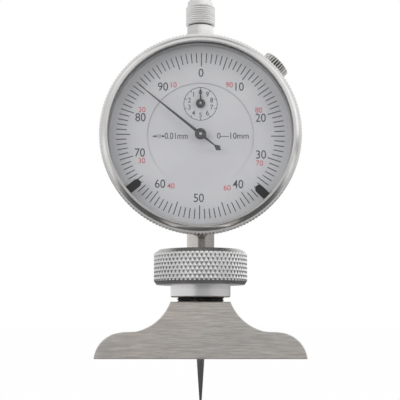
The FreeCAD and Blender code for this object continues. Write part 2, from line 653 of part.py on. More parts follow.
def main_plate():
    """Round plate in front of the spindle that carries the movement."""
    radius = CASE_INNER_RADIUS - 2 * DIAL_RUNNING_GAP
    front_y = MAIN_PLATE_FRONT_Y
    rear_y = MAIN_PLATE_REAR_Y
    plate = rod_y(0, DIAL_Z, radius, front_y, rear_y)
    notch_half = STEM_BOSS_DIAMETER / 2 + PLATE_CLEARANCE
    notch_from = CASE_INNER_RADIUS - STEM_BOSS_DEPTH - PLATE_CLEARANCE
    cut_y = (front_y - 1, rear_y + 1)
    for sign in (-1, 1):
        z_range = sorted((DIAL_Z + sign * notch_from, DIAL_Z + sign * CASE_RADIUS))
        plate = plate.cut(block((-notch_half, notch_half), cut_y, z_range))
    pinion_window = RACK_MODULE * (PINION_TEETH / 2 + 1) + PLATE_CLEARANCE
    plate = plate.cut(rod_y(RACK_PINION_X, RACK_PINION_Z, pinion_window, *cut_y))
    pivot_hole = PIVOT_RADIUS + PIVOT_CLEARANCE
    plate = plate.cut(rod_y(0, DIAL_Z, pivot_hole, *cut_y))
    return plate.cut(rod_y(0, COUNTER_Z, pivot_hole, *cut_y))


def bridge():
    """Front plate that holds the arbors' front pivots and seats the fixed centre dial."""
    cut_y = (BRIDGE_FRONT_Y - 1, BRIDGE_REAR_Y + 1)
    plate = rod_y(0, DIAL_Z, BRIDGE_RADIUS, BRIDGE_FRONT_Y, BRIDGE_REAR_Y)
    pivot_hole = PIVOT_RADIUS + PIVOT_CLEARANCE
    plate = plate.cut(rod_y(RACK_PINION_X, RACK_PINION_Z, pivot_hole, *cut_y))
    arbor_hole = ARBOR_FRONT_RADIUS + PIVOT_CLEARANCE
    plate = plate.cut(rod_y(0, DIAL_Z, arbor_hole, *cut_y))
    return plate.cut(rod_y(0, COUNTER_Z, arbor_hole, *cut_y))


def bridge_pillars():
    """Three riveted pillars between the main plate and the bridge."""
    pillars = []
    for angle_deg in PILLAR_ANGLES_DEG:
        x, z = around_dial(PILLAR_CIRCLE_RADIUS, angle_deg)
        pillars.append(rod_y(x, z, PILLAR_RADIUS, BRIDGE_REAR_Y, MAIN_PLATE_FRONT_Y))
    return group(pillars)


def pinion_cock():
    """Cock on the main plate's back: a foot, and an arm behind the spindle for the pinion's pivot."""
    foot_x = RACK_PINION_X - COCK_ARM
    foot_z = RACK_PINION_Z
    half_width = COCK_FOOT_WIDTH / 2
    half_length = COCK_FOOT_LENGTH / 2
    foot_range = (foot_x - half_width, foot_x + half_width)
    foot = block(foot_range, (MAIN_PLATE_REAR_Y, COCK_REAR_Y), (foot_z - half_length, foot_z + half_length))
    arm_z = (foot_z - half_width, foot_z + half_width)
    arm = block((foot_x, RACK_PINION_X), (COCK_FRONT_Y, COCK_REAR_Y), arm_z)
    arm = arm.fuse(rod_y(RACK_PINION_X, RACK_PINION_Z, half_width, COCK_FRONT_Y, COCK_REAR_Y))
    cock = foot.fuse(arm).removeSplitter()
    pivot_hole = PIVOT_RADIUS + PIVOT_CLEARANCE
    return cock.cut(rod_y(RACK_PINION_X, RACK_PINION_Z, pivot_hole, COCK_FRONT_Y - 1, COCK_REAR_Y + 1))


def guide_block():
    """Slotted block riveted beside the spindle; the guide pin runs in its slot."""
    y_range = (MAIN_PLATE_REAR_Y, MAIN_PLATE_REAR_Y + GUIDE_BLOCK_DEPTH)
    z_range = (GUIDE_SLOT_LOW_Z - GUIDE_BLOCK_END, GUIDE_SLOT_HIGH_Z + GUIDE_BLOCK_END)
    body = block((GUIDE_BLOCK_NEAR_X, GUIDE_BLOCK_FAR_X), y_range, z_range)
    half_slot = GUIDE_PIN_RADIUS + GUIDE_SLOT_CLEARANCE
    slot_x = (GUIDE_BLOCK_NEAR_X - 1, GUIDE_BLOCK_FAR_X + 1)
    return body.cut(block(slot_x, (-half_slot, half_slot), (GUIDE_SLOT_LOW_Z, GUIDE_SLOT_HIGH_Z)))


def spring_post():
    """Headed post on the main plate; the return spring's lower eye sits on it."""
    head_y = SPRING_WIRE_DIAMETER / 2 + SPRING_EYE_ROOM
    post = rod_y(SPRING_HOOK_X, SPRING_POST_Z, GUIDE_PIN_RADIUS, MAIN_PLATE_REAR_Y, head_y)
    head_radius = GUIDE_PIN_RADIUS + SPRING_POST_LIP
    head = rod_y(SPRING_HOOK_X, SPRING_POST_Z, head_radius, head_y, head_y + SPRING_POST_HEAD)
    return post.fuse(head)


def spring_eye(height, direction):
    """Closed eye of the return spring round a pin that lies along the direction."""
    bore = GUIDE_PIN_RADIUS + SPRING_EYE_CLEARANCE
    start = vec(SPRING_HOOK_X, 0, height) - direction * (SPRING_WIRE_DIAMETER / 2)
    eye = Part.makeCylinder(bore + SPRING_WIRE_DIAMETER, SPRING_WIRE_DIAMETER, start, direction)
    return eye.cut(Part.makeCylinder(bore, SPRING_WIRE_DIAMETER, start, direction))


def return_spring():
    """Close-wound tension spring from the post up to the guide pin, with an eye at each end."""
    half_wire = SPRING_WIRE_DIAMETER / 2
    eye_middle = GUIDE_PIN_RADIUS + SPRING_EYE_CLEARANCE + half_wire
    coil_low_z = SPRING_POST_Z + eye_middle + half_wire + SPRING_NECK
    coil_high_z = GUIDE_SLOT_LOW_Z - GUIDE_BLOCK_END - SPRING_NECK
    spring = spring_eye(SPRING_POST_Z, ALONG_Y).fuse(spring_eye(GUIDE_PIN_Z, ALONG_X))
    for radius, low_z, high_z in (
        (half_wire, SPRING_POST_Z + eye_middle, coil_low_z),
        (SPRING_DIAMETER / 2, coil_low_z, coil_high_z),
        (half_wire, coil_high_z, GUIDE_PIN_Z - eye_middle),
    ):
        start = vec(SPRING_HOOK_X, 0, low_z)
        spring = spring.fuse(Part.makeCylinder(radius, high_z - low_z, start, ALONG_Z))
    return spring


def involute(angle):
    return math.tan(angle) - angle


def tooth_half_angle(teeth, module, radius):
    """Half of the angle that a tooth takes up at a radius, for an involute flank."""
    base_radius = module * teeth / 2 * math.cos(PRESSURE_ANGLE)
    at_base = TOOTH_SHARE * math.pi / (2 * teeth) + involute(PRESSURE_ANGLE)
    if radius <= base_radius:
        return at_base
    return at_base - involute(math.acos(base_radius / radius))


def gear_solid(teeth, module, phase_deg, centre, front_y, length, flank_radii):
    """Toothed disc about a (x, z) centre; a tooth stands at the phase angle."""
    pitch_radius = module * teeth / 2
    radii = [pitch_radius - DEDENDUM * module] + flank_radii + [pitch_radius + module]
    points = []
    for tooth in range(teeth):
        middle = math.radians(phase_deg) + 2 * math.pi * tooth / teeth
        for side, run in ((-1, radii), (1, radii[::-1])):
            for radius in run:
                angle = middle + side * tooth_half_angle(teeth, module, radius)
                x = centre[0] + radius * math.cos(angle)
                z = centre[1] + radius * math.sin(angle)
                points.append(vec(x, front_y, z))
    return polygon_face(points).extrude(vec(0, length, 0))


def spoked_wheel(phase_deg, centre, bore_radius):
    """Hundred-tooth brass wheel with four spokes."""
    wheel = gear_solid(WHEEL_TEETH, WHEEL_MODULE, phase_deg, centre, WHEEL_FRONT_Y, WHEEL_THICKNESS, [])
    cut_y = (WHEEL_FRONT_Y - 1, WHEEL_REAR_Y + 1)
    inner_radius = WHEEL_MODULE * (WHEEL_TEETH / 2 - DEDENDUM) - WHEEL_RIM_WIDTH
    windows = rod_y(*centre, inner_radius, *cut_y).cut(rod_y(*centre, WHEEL_HUB_RADIUS, *cut_y))
    half = WHEEL_SPOKE_WIDTH / 2
    x, z = centre
    windows = windows.cut(block((x - half, x + half), cut_y, (z - inner_radius, z + inner_radius)))
    windows = windows.cut(block((x - inner_radius, x + inner_radius), cut_y, (z - half, z + half)))
    return wheel.cut(windows).cut(rod_y(*centre, bore_radius, *cut_y))


def first_wheel_line_deg():
    """Direction from the centre arbor to the rack pinion's arbor."""
    return math.degrees(math.atan2(RACK_PINION_Z - DIAL_Z, RACK_PINION_X))


def centre_pinion_phase_deg():
    """Centre pinion phase: a gap faces the first wheel."""
    return first_wheel_line_deg() + 180 / CENTRE_TEETH


def counter_wheel_phase_deg():
    """Counter wheel phase: its gap stands where the pinion's nearest tooth points."""
    step_deg = 360 / CENTRE_TEETH
    from_line = (90 - centre_pinion_phase_deg()) % step_deg
    if from_line > step_deg / 2:
        from_line -= step_deg
    gap_deg = 270 + from_line * CENTRE_TEETH / WHEEL_TEETH
    return gap_deg + 180 / WHEEL_TEETH


def rack_pinion():
    """Arbor that crosses the case, with the pinion that meets the rack."""
    place = (RACK_PINION_X, RACK_PINION_Z)
    half = RACK_PINION_LENGTH / 2
    pitch_radius = RACK_MODULE * PINION_TEETH / 2
    phase_deg = 180 / PINION_TEETH
    pinion = gear_solid(PINION_TEETH, RACK_MODULE, phase_deg, place, -half, 2 * half, [pitch_radius])
    shaft = rod_y(*place, ARBOR_RADIUS, BRIDGE_REAR_Y + END_PLAY, COCK_FRONT_Y - END_PLAY)
    pivots = rod_y(*place, PIVOT_RADIUS, BRIDGE_FRONT_Y + END_PLAY, COCK_REAR_Y)
    return pinion.fuse(shaft).fuse(pivots)


def first_wheel():
    """Wheel on the rack pinion's arbor; a tooth points at the centre pinion."""
    place = (RACK_PINION_X, RACK_PINION_Z)
    return spoked_wheel(first_wheel_line_deg() + 180, place, ARBOR_RADIUS + SEAT_CLEARANCE)


def centre_pinion():
    """Centre arbor with its ten-tooth pinion, between the first wheel and the counter wheel."""
    middle_y = (WHEEL_FRONT_Y + WHEEL_REAR_Y) / 2
    front_y = middle_y - CENTRE_PINION_LENGTH / 2
    pinion = gear_solid(CENTRE_TEETH, WHEEL_MODULE, centre_pinion_phase_deg(), (0, DIAL_Z), front_y,
                        CENTRE_PINION_LENGTH, [WHEEL_MODULE * CENTRE_TEETH / 2])
    front = rod_y(0, DIAL_Z, ARBOR_FRONT_RADIUS, arbor_tip_y(POINTER_PLANE_Y), middle_y)
    pivot = rod_y(0, DIAL_Z, PIVOT_RADIUS, middle_y, MAIN_PLATE_REAR_Y - END_PLAY)
    return pinion.fuse(front).fuse(pivot)


def pointer_blade(tip, tail, root_width, tip_width, plane_y, pivot_z):
    """Blade that points up, with a tapering tail and an eye for the arbor."""
    half_root = root_width / 2
    half_tip = tip_width / 2
    outline = [
        vec(-half_tip, plane_y, pivot_z + tip),
        vec(half_tip, plane_y, pivot_z + tip),
        vec(half_root, plane_y, pivot_z),
        vec(half_tip, plane_y, pivot_z - tail),
        vec(-half_tip, plane_y, pivot_z - tail),
        vec(-half_root, plane_y, pivot_z),
    ]
    rear_y = plane_y + POINTER_THICKNESS
    blade = polygon_face(outline).extrude(vec(0, POINTER_THICKNESS, 0))
    eye = ARBOR_FRONT_RADIUS + SEAT_CLEARANCE
    blade = blade.fuse(rod_y(0, pivot_z, eye + POINTER_EYE_WALL, plane_y, rear_y))
    return blade.cut(rod_y(0, pivot_z, eye, plane_y - 1, rear_y + 1))


def main_pointer():
    """Long blade with an arrow-shaped counterweight on its tail, set at its resting angle."""
    blade = pointer_blade(POINTER_TIP_RADIUS, POINTER_TAIL_RADIUS - ARROW_LENGTH / 2,
                          POINTER_ROOT_WIDTH, POINTER_TIP_WIDTH, POINTER_PLANE_Y, DIAL_Z)
    tip_z = DIAL_Z - POINTER_TAIL_RADIUS
    top_z = tip_z + ARROW_LENGTH
    wing_z = (tip_z + top_z) / 2
    arrow = polygon_face([
        vec(0, POINTER_PLANE_Y, tip_z),
        vec(ARROW_WIDTH / 2, POINTER_PLANE_Y, wing_z),
        vec(ARROW_ROOT_WIDTH / 2, POINTER_PLANE_Y, top_z),
        vec(-ARROW_ROOT_WIDTH / 2, POINTER_PLANE_Y, top_z),
        vec(-ARROW_WIDTH / 2, POINTER_PLANE_Y, wing_z),
    ]).extrude(vec(0, POINTER_THICKNESS, 0))
    pointer = blade.fuse(arrow)
    pointer.rotate(vec(0, 0, DIAL_Z), ALONG_Y, POINTER_REST_DEG)
    return pointer


def arbor_tip_y(plane_y):
    """Front end of an arbor, just short of the roof of its pointer's hub."""
    return plane_y - HUB_HEAD + HUB_ROOF + END_PLAY


def pointer_hub(pivot_z, radius, plane_y):
    """Closed cap pressed on the arbor's tip, against the front of the pointer."""
    front_y = plane_y - HUB_HEAD
    head = rod_y(0, pivot_z, radius, front_y, plane_y)
    return head.cut(rod_y(0, pivot_z, ARBOR_FRONT_RADIUS + SEAT_CLEARANCE, front_y + HUB_ROOF, plane_y))


def main_pointer_hub():
    return pointer_hub(DIAL_Z, POINTER_HUB_RADIUS, POINTER_PLANE_Y)


def counter_pointer():
    """Short pointer that counts whole millimetres."""
    return pointer_blade(COUNTER_POINTER_LENGTH, COUNTER_HUB_RADIUS, COUNTER_ROOT_WIDTH,
                         COUNTER_TIP_WIDTH, COUNTER_POINTER_PLANE_Y, COUNTER_Z)


def counter_pointer_hub():
    return pointer_hub(COUNTER_Z, COUNTER_HUB_RADIUS, COUNTER_POINTER_PLANE_Y)


def counter_arbor():
    """Arbor of the counting pointer, thick between the plates and with a pivot behind."""
    tip_y = arbor_tip_y(COUNTER_POINTER_PLANE_Y)
    front = rod_y(0, COUNTER_Z, ARBOR_FRONT_RADIUS, tip_y, WHEEL_FRONT_Y)
    middle = rod_y(0, COUNTER_Z, ARBOR_RADIUS, BRIDGE_REAR_Y + END_PLAY, MAIN_PLATE_FRONT_Y - END_PLAY)
    pivot = rod_y(0, COUNTER_Z, PIVOT_RADIUS, WHEEL_FRONT_Y, MAIN_PLATE_REAR_Y - END_PLAY)
    return front.fuse(middle).fuse(pivot)


def counter_wheel():
    return spoked_wheel(counter_wheel_phase_deg(), (0, COUNTER_Z), ARBOR_RADIUS + SEAT_CLEARANCE)


def hairspring_depths():
    """Front and rear of the hairspring, between the counter wheel and the bridge."""
    middle_y = (BRIDGE_REAR_Y + WHEEL_FRONT_Y) / 2
    return middle_y - HAIRSPRING_WIDTH / 2, middle_y + HAIRSPRING_WIDTH / 2


def hairspring_collet():
    """Small brass ring on the counter arbor that holds the hairspring's inner end."""
    front_y, rear_y = hairspring_depths()
    radius = HAIRSPRING_INNER_RADIUS - HAIRSPRING_COLLET_GAP
    outer = rod_y(0, COUNTER_Z, radius, front_y, rear_y)
    return outer.cut(rod_y(0, COUNTER_Z, ARBOR_RADIUS + SEAT_CLEARANCE, front_y - 1, rear_y + 1))


def hairspring_side(offset, reverse):
    """One edge of the spiral strip as half circles whose centres change sides."""
    front_y = hairspring_depths()[0]
    step = HAIRSPRING_PITCH / 2
    edges = []
    for turn in range(2 * HAIRSPRING_TURNS):
        radius = HAIRSPRING_INNER_RADIUS + turn * step + offset
        centre_x = step if turn % 2 else 0
        start_deg = 180 * (turn % 2)
        edges.append(arc_edge(centre_x, COUNTER_Z, radius, start_deg, start_deg + 180, front_y))
    return edges[::-1] if reverse else edges


def hairspring_end_x():
    """Distance of the spiral's outer end from the counter arbor."""
    step = HAIRSPRING_PITCH / 2
    return step + HAIRSPRING_INNER_RADIUS + (2 * HAIRSPRING_TURNS - 1) * step


def hairspring():
    """Flat spiral that takes up the play of the train."""
    front_y, rear_y = hairspring_depths()
    half = HAIRSPRING_STRIP / 2
    caps = []
    for x in (HAIRSPRING_INNER_RADIUS, hairspring_end_x()):
        caps.append(Part.makeLine(vec(x - half, front_y, COUNTER_Z), vec(x + half, front_y, COUNTER_Z)))
    outer = hairspring_side(half, False)
    inner = hairspring_side(-half, True)
    strip = Part.Wire(caps[:1] + outer + caps[1:] + inner)
    return Part.Face(strip).extrude(vec(0, rear_y - front_y, 0))


def hairspring_stud():
    """Stud under the bridge that holds the hairspring's outer end."""
    front_y, rear_y = hairspring_depths()
    near_x = hairspring_end_x() + HAIRSPRING_STRIP / 2 + SEAT_CLEARANCE
    half = HAIRSPRING_STUD_SIZE / 2
    z_range = (COUNTER_Z - half, COUNTER_Z + half)
    return block((near_x, near_x + HAIRSPRING_STUD_SIZE), (BRIDGE_REAR_Y, rear_y), z_range)


def centre_dial():
    """Fixed middle of the dial, a little behind the turning ring."""
    cut_y = (CENTRE_DIAL_FRONT_Y - 1, BRIDGE_FRONT_Y + 1)
    disc = rod_y(0, DIAL_Z, CENTRE_DIAL_RADIUS, CENTRE_DIAL_FRONT_Y, BRIDGE_FRONT_Y)
    hole = ARBOR_FRONT_RADIUS + DIAL_HOLE_CLEARANCE
    disc = disc.cut(rod_y(0, DIAL_Z, hole, *cut_y))
    return disc.cut(rod_y(0, COUNTER_Z, hole, *cut_y))


def dial_ring():
    """Printed ring that turns with the bezel."""
    rear_y = DIAL_FACE_Y + DIAL_THICKNESS
    ring = rod_y(0, DIAL_Z, CRYSTAL_RADIUS, DIAL_FACE_Y, rear_y)
    return ring.cut(rod_y(0, DIAL_Z, DIAL_WINDOW_RADIUS, DIAL_FACE_Y - 1, rear_y + 1))


def dial_spacer_ring():
    """Thin wall between the crystal and the dial ring."""
    ring = rod_y(0, DIAL_Z, CRYSTAL_RADIUS, CRYSTAL_REAR_Y, DIAL_FACE_Y)
    return ring.cut(rod_y(0, DIAL_Z, BEZEL_WINDOW_RADIUS, CRYSTAL_REAR_Y - 1, DIAL_FACE_Y + 1))


def crystal():
    return rod_y(0, DIAL_Z, CRYSTAL_RADIUS, CRYSTAL_FRONT_Y, CRYSTAL_REAR_Y)


def bezel():
    """Ring with a flat lip, a sloping neck, a knurled band and a skirt over the case's rim."""
    bore = BEZEL_BORE_RADIUS
    seat = CRYSTAL_RADIUS + SEAT_CLEARANCE
    groove_roof = CRYSTAL_FRONT_Y - MARKER_GROOVE_DEPTH
    snap_roof = bore + BEZEL_GROOVE_DEPTH
    neck_radius = BEZEL_RADIUS - BEZEL_NECK_DROP
    return turned_about_dial([
        (bore, BEZEL_REAR_Y),
        (BEZEL_REAR_RADIUS, BEZEL_REAR_Y),
        (BEZEL_REAR_RADIUS, BEZEL_KNURL_REAR_Y),
        (BEZEL_RADIUS, BEZEL_KNURL_REAR_Y),
        (BEZEL_RADIUS, BEZEL_KNURL_FRONT_Y),
        (neck_radius, BEZEL_KNURL_FRONT_Y),
        (BEZEL_LIP_OUTER_RADIUS, BEZEL_FRONT_Y + BEZEL_LIP_BEVEL),
        (BEZEL_LIP_OUTER_RADIUS - BEZEL_LIP_BEVEL, BEZEL_FRONT_Y),
        (BEZEL_WINDOW_RADIUS, BEZEL_FRONT_Y),
        (BEZEL_WINDOW_RADIUS, groove_roof),
        (seat, groove_roof),
        (seat, CRYSTAL_REAR_Y),
        (bore, CRYSTAL_REAR_Y),
        (bore, SNAP_RING_Y - SNAP_GROOVE_HALF_WIDTH),
        (snap_roof, SNAP_RING_Y - SNAP_GROOVE_HALF_WIDTH),
        (snap_roof, SNAP_RING_Y + SNAP_GROOVE_HALF_WIDTH),
        (bore, SNAP_RING_Y + SNAP_GROOVE_HALF_WIDTH),
    ])


def limit_marker(angle_deg):
    """Tab in front of the crystal with a foot in the bezel's inner groove."""
    rear_y = CRYSTAL_FRONT_Y - MARKER_GAP
    front_y = rear_y - MARKER_THICKNESS
    foot_outer = CRYSTAL_RADIUS - MARKER_SIDE_GAP
    foot_inner = foot_outer - MARKER_FOOT_WIDTH
    half = MARKER_WIDTH / 2
    round_x = BEZEL_WINDOW_RADIUS - MARKER_LENGTH + half
    tab = block((round_x, (foot_inner + foot_outer) / 2), (front_y, rear_y), (DIAL_Z - half, DIAL_Z + half))
    tab = tab.fuse(rod_y(round_x, DIAL_Z, half, front_y, rear_y))
    profile = [(foot_inner, front_y), (foot_outer, front_y), (foot_outer, rear_y), (foot_inner, rear_y)]
    foot = turned_about_dial(profile, MARKER_FOOT_SPAN_DEG)
    foot.rotate(vec(0, 0, DIAL_Z), ALONG_Y, -MARKER_FOOT_SPAN_DEG / 2)
    return turned_to(tab.fuse(foot), angle_deg)


def clamp_shoe():
    """Plate under the clamp screw that bears on the case and on the bezel's skirt."""
    near = CLAMP_PAD_TOP + SEAT_CLEARANCE
    front_y = BEZEL_KNURL_REAR_Y + CLAMP_SHOE_INSET
    y_range = (front_y, CLAMP_KNOB_DIAMETER / 2 - CLAMP_SHOE_INSET)
    shoe = clamp_frame((near, CLAMP_SHOE_TOP), CLAMP_SHOE_WIDTH / 2, y_range)
    shank_hole = CLAMP_SHANK_DIAMETER / 2 + 2 * CLAMP_HOLE_CLEARANCE
    return shoe.cut(clamp_rod(shank_hole, near - 1, CLAMP_SHOE_TOP + 1))


def bezel_clamp_screw():
    """Knob with a shank that screws into the case through the shoe."""
    knob_near = CLAMP_KNOB_FACE - CLAMP_KNOB_LENGTH
    knob = clamp_rod(CLAMP_KNOB_DIAMETER / 2, knob_near, CLAMP_KNOB_FACE)
    rims = [edge for edge in knob.Edges if len(edge.Vertexes) == 1]
    knob = knob.makeChamfer(CUT_EDGE, rims)
    shank = clamp_rod(CLAMP_SHANK_DIAMETER / 2, knob_near - CLAMP_SHANK_LENGTH, CLAMP_KNOB_FACE - CUT_EDGE)
    return knob.fuse(shank)


NODES = {
    "base": depth_base,
    "collet": collet,
    "clamp_nut": clamp_nut,
    "stem": stem,
    "lower_bush": lambda: bush(STEM_END_Z + BUSH_INSET),
    "case": case,
    "back_cover": back_cover,
    "upper_sleeve": upper_sleeve,
    "upper_bush": lambda: bush(SLEEVE_TOP_Z - BUSH_INSET - BUSH_LENGTH),
    "snap_ring": snap_ring,
    "clamp_shoe": clamp_shoe,
    "main_plate": main_plate,
    "bridge": bridge,
    "bridge_pillars": bridge_pillars,
    "pinion_cock": pinion_cock,
    "guide_block": guide_block,
    "spring_post": spring_post,
    "return_spring": return_spring,
    "hairspring": hairspring,
    "hairspring_stud": hairspring_stud,
    "centre_dial": centre_dial,
    "spindle": spindle,
    "contact_needle": contact_needle,
    "lift_cap": lift_cap,
    "guide_pin": guide_pin,
    "rack_pinion": rack_pinion,
    "first_wheel": first_wheel,
    "centre_pinion": centre_pinion,
    "main_pointer": main_pointer,
    "main_pointer_hub": main_pointer_hub,
    "counter_arbor": counter_arbor,
    "counter_wheel": counter_wheel,
    "hairspring_collet": hairspring_collet,
    "counter_pointer": counter_pointer,
    "counter_pointer_hub": counter_pointer_hub,
    "bezel": bezel,
    "crystal": crystal,
    "dial_spacer_ring": dial_spacer_ring,
    "dial_ring": dial_ring,
    "limit_marker_left": lambda: limit_marker(MARKER_LEFT_DEG),
    "limit_marker_right": lambda: limit_marker(MARKER_RIGHT_DEG),
    "bezel_clamp_screw": bezel_clamp_screw,
}

os.makedirs("parts", exist_ok=True)
for node, make in NODES.items():
    make().exportStep(f"parts/{node}.step")
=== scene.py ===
import bmesh
import bpy
import math
from mathutils import Matrix, Vector


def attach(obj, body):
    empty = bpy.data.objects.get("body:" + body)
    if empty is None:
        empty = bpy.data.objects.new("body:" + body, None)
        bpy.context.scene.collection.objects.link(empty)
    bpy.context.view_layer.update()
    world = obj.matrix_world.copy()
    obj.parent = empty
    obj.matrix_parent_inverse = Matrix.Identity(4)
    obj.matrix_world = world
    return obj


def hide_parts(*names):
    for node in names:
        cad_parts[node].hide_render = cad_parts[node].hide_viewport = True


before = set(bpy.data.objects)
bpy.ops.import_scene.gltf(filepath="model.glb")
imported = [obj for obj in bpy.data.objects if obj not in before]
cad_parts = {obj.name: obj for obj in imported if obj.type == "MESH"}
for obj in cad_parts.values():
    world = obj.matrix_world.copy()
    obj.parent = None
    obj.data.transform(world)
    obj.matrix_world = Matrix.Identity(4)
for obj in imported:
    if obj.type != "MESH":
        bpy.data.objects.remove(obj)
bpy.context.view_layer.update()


# Depth base: one steel block with two rounded wings, milled to shape and ground on a belt, so that
# fine scratches run along its length. Its underside is the measuring face.
class Wire:
    """The end of a node, which can be used in sums with numbers and with other wires."""

    def __init__(self, sheet, end):
        self.sheet = sheet
        self.end = end

    def __add__(self, other):
        return self.sheet.sum("ADD", self, other)

    def __sub__(self, other):
        return self.sheet.sum("SUBTRACT", self, other)

    def __rsub__(self, other):
        return self.sheet.sum("SUBTRACT", other, self)

    def __mul__(self, other):
        return self.sheet.sum("MULTIPLY", self, other)

    def __truediv__(self, other):
        return self.sheet.sum("DIVIDE", self, other)

    def __mod__(self, other):
        return self.sheet.sum("FLOORED_MODULO", self, other)

    def __lt__(self, other):
        return self.sheet.sum("LESS_THAN", self, other)

    def __gt__(self, other):
        return self.sheet.sum("GREATER_THAN", self, other)

    __radd__ = __add__
    __rmul__ = __mul__


class Sheet:
    """A tree of nodes: a finish's shader, the studio's light, or the making of a shape."""

    def __init__(self, tree):
        self.tree = tree

    def add(self, kind, settings=None, inputs=None, output=0):
        node = self.tree.nodes.new(kind)
        for name, value in (settings or {}).items():
            setattr(node, name, value)
        for key, value in (inputs or {}).items():
            socket = node.inputs[key] if isinstance(key, int) else self.named(node.inputs, key)
            if isinstance(value, Wire):
                self.tree.links.new(value.end, socket)
            else:
                socket.default_value = value
        end = node.outputs[output] if isinstance(output, int) else self.named(node.outputs, output)
        return Wire(self, end)

    def named(self, sockets, name):
        return next(s for s in sockets if s.name == name and s.enabled)

    def sum(self, operation, *values):
        return self.add("ShaderNodeMath", {"operation": operation}, dict(enumerate(values)))

    def vector(self, operation, *values):
        return self.add("ShaderNodeVectorMath", {"operation": operation}, dict(enumerate(values)))

    def joined(self, x, y, z):
        return self.add("ShaderNodeCombineXYZ", None, {0: x, 1: y, 2: z})

    def parts(self, vector):
        split = self.add("ShaderNodeSeparateXYZ", None, {0: vector})
        return [Wire(self, end) for end in split.end.node.outputs]

    def blend(self, share, first, second):
        return self.add("ShaderNodeMix", {"data_type": "RGBA"},
                        {"Factor": share, "A": first, "B": second}, "Result")

    def ramp(self, value, low, high, start=0.0, end=1.0, shape="SMOOTHSTEP"):
        return self.add("ShaderNodeMapRange", {"interpolation_type": shape},
                        {"Value": value, "From Min": low, "From Max": high, "To Min": start,
                         "To Max": end})

    def noise(self, place, scale, detail=2.0, roughness=0.5):
        return self.add("ShaderNodeTexNoise", None, {"Vector": place, "Scale": scale,
                                                     "Detail": detail, "Roughness": roughness})


def finish_sheet(name):
    """A new material's sheet, with nothing on it."""
    finish = bpy.data.materials.new(name)
    finish.use_nodes = True
    finish.node_tree.nodes.clear()
    return finish, Sheet(finish.node_tree)


def surface(sheet, inputs, height=None, relief=0.0):
    """Ends a sheet with one principled surface; height is in shares of relief, in metres."""
    if height is not None:
        inputs["Normal"] = sheet.add("ShaderNodeBump", None, {"Strength": 1.0, "Distance": relief,
                                                              "Height": height})
    shader = sheet.add("ShaderNodeBsdfPrincipled", None, inputs)
    end = sheet.tree.nodes.new("ShaderNodeOutputMaterial")
    sheet.tree.links.new(shader.end, end.inputs["Surface"])


def grey(level):
    """A grey of this linear level."""
    return level, level, level, 1.0


def painted(node, finish):
    """Gives a CAD node's own object its finish."""
    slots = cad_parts[node].data.materials
    slots.clear()
    slots.append(finish)


# How often the marks of the belt change along the base, through it and up it, per metre.
BASE_STREAK = (230.0, 6200.0, 6800.0)
BASE_SCRATCH = (150.0, 2600.0, 3400.0)
BASE_WARM = (0.635, 0.585, 0.55, 1.0)
BASE_COOL = (0.60, 0.58, 0.545, 1.0)
SCRATCH_DEPTH = 0.000006
finish, sheet = finish_sheet("ground_steel")
place = sheet.add("ShaderNodeTexCoord", output="Object")
streak = sheet.noise(sheet.vector("MULTIPLY", place, BASE_STREAK), 1.0, 3.0, 0.65)
scratch = sheet.noise(sheet.vector("MULTIPLY", place, BASE_SCRATCH), 1.0, 4.0, 0.75)
stain = sheet.ramp(sheet.noise(place, 70.0, 3.0), 0.38, 0.62)
tint = sheet.blend(stain, BASE_WARM, BASE_COOL)
shade = sheet.ramp(streak, 0.25, 0.75, 0.8, 1.18) * sheet.ramp(scratch, 0.25, 0.75, 0.82, 1.16)
ground = sheet.add("ShaderNodeVectorMath", {"operation": "SCALE"}, {0: tint, "Scale": shade})
surface(sheet, {"Base Color": ground, "Metallic": 0.65, "Roughness": 0.34 + streak * 0.14},
        streak + scratch * 2.0, SCRATCH_DEPTH)
painted("base", finish)


# Collet: turned steel, blackened, screwed into the base. It carries the clamp nut's thread, and its
# slotted taper closes on the stem inside the nut.
SEAM = 1e-7


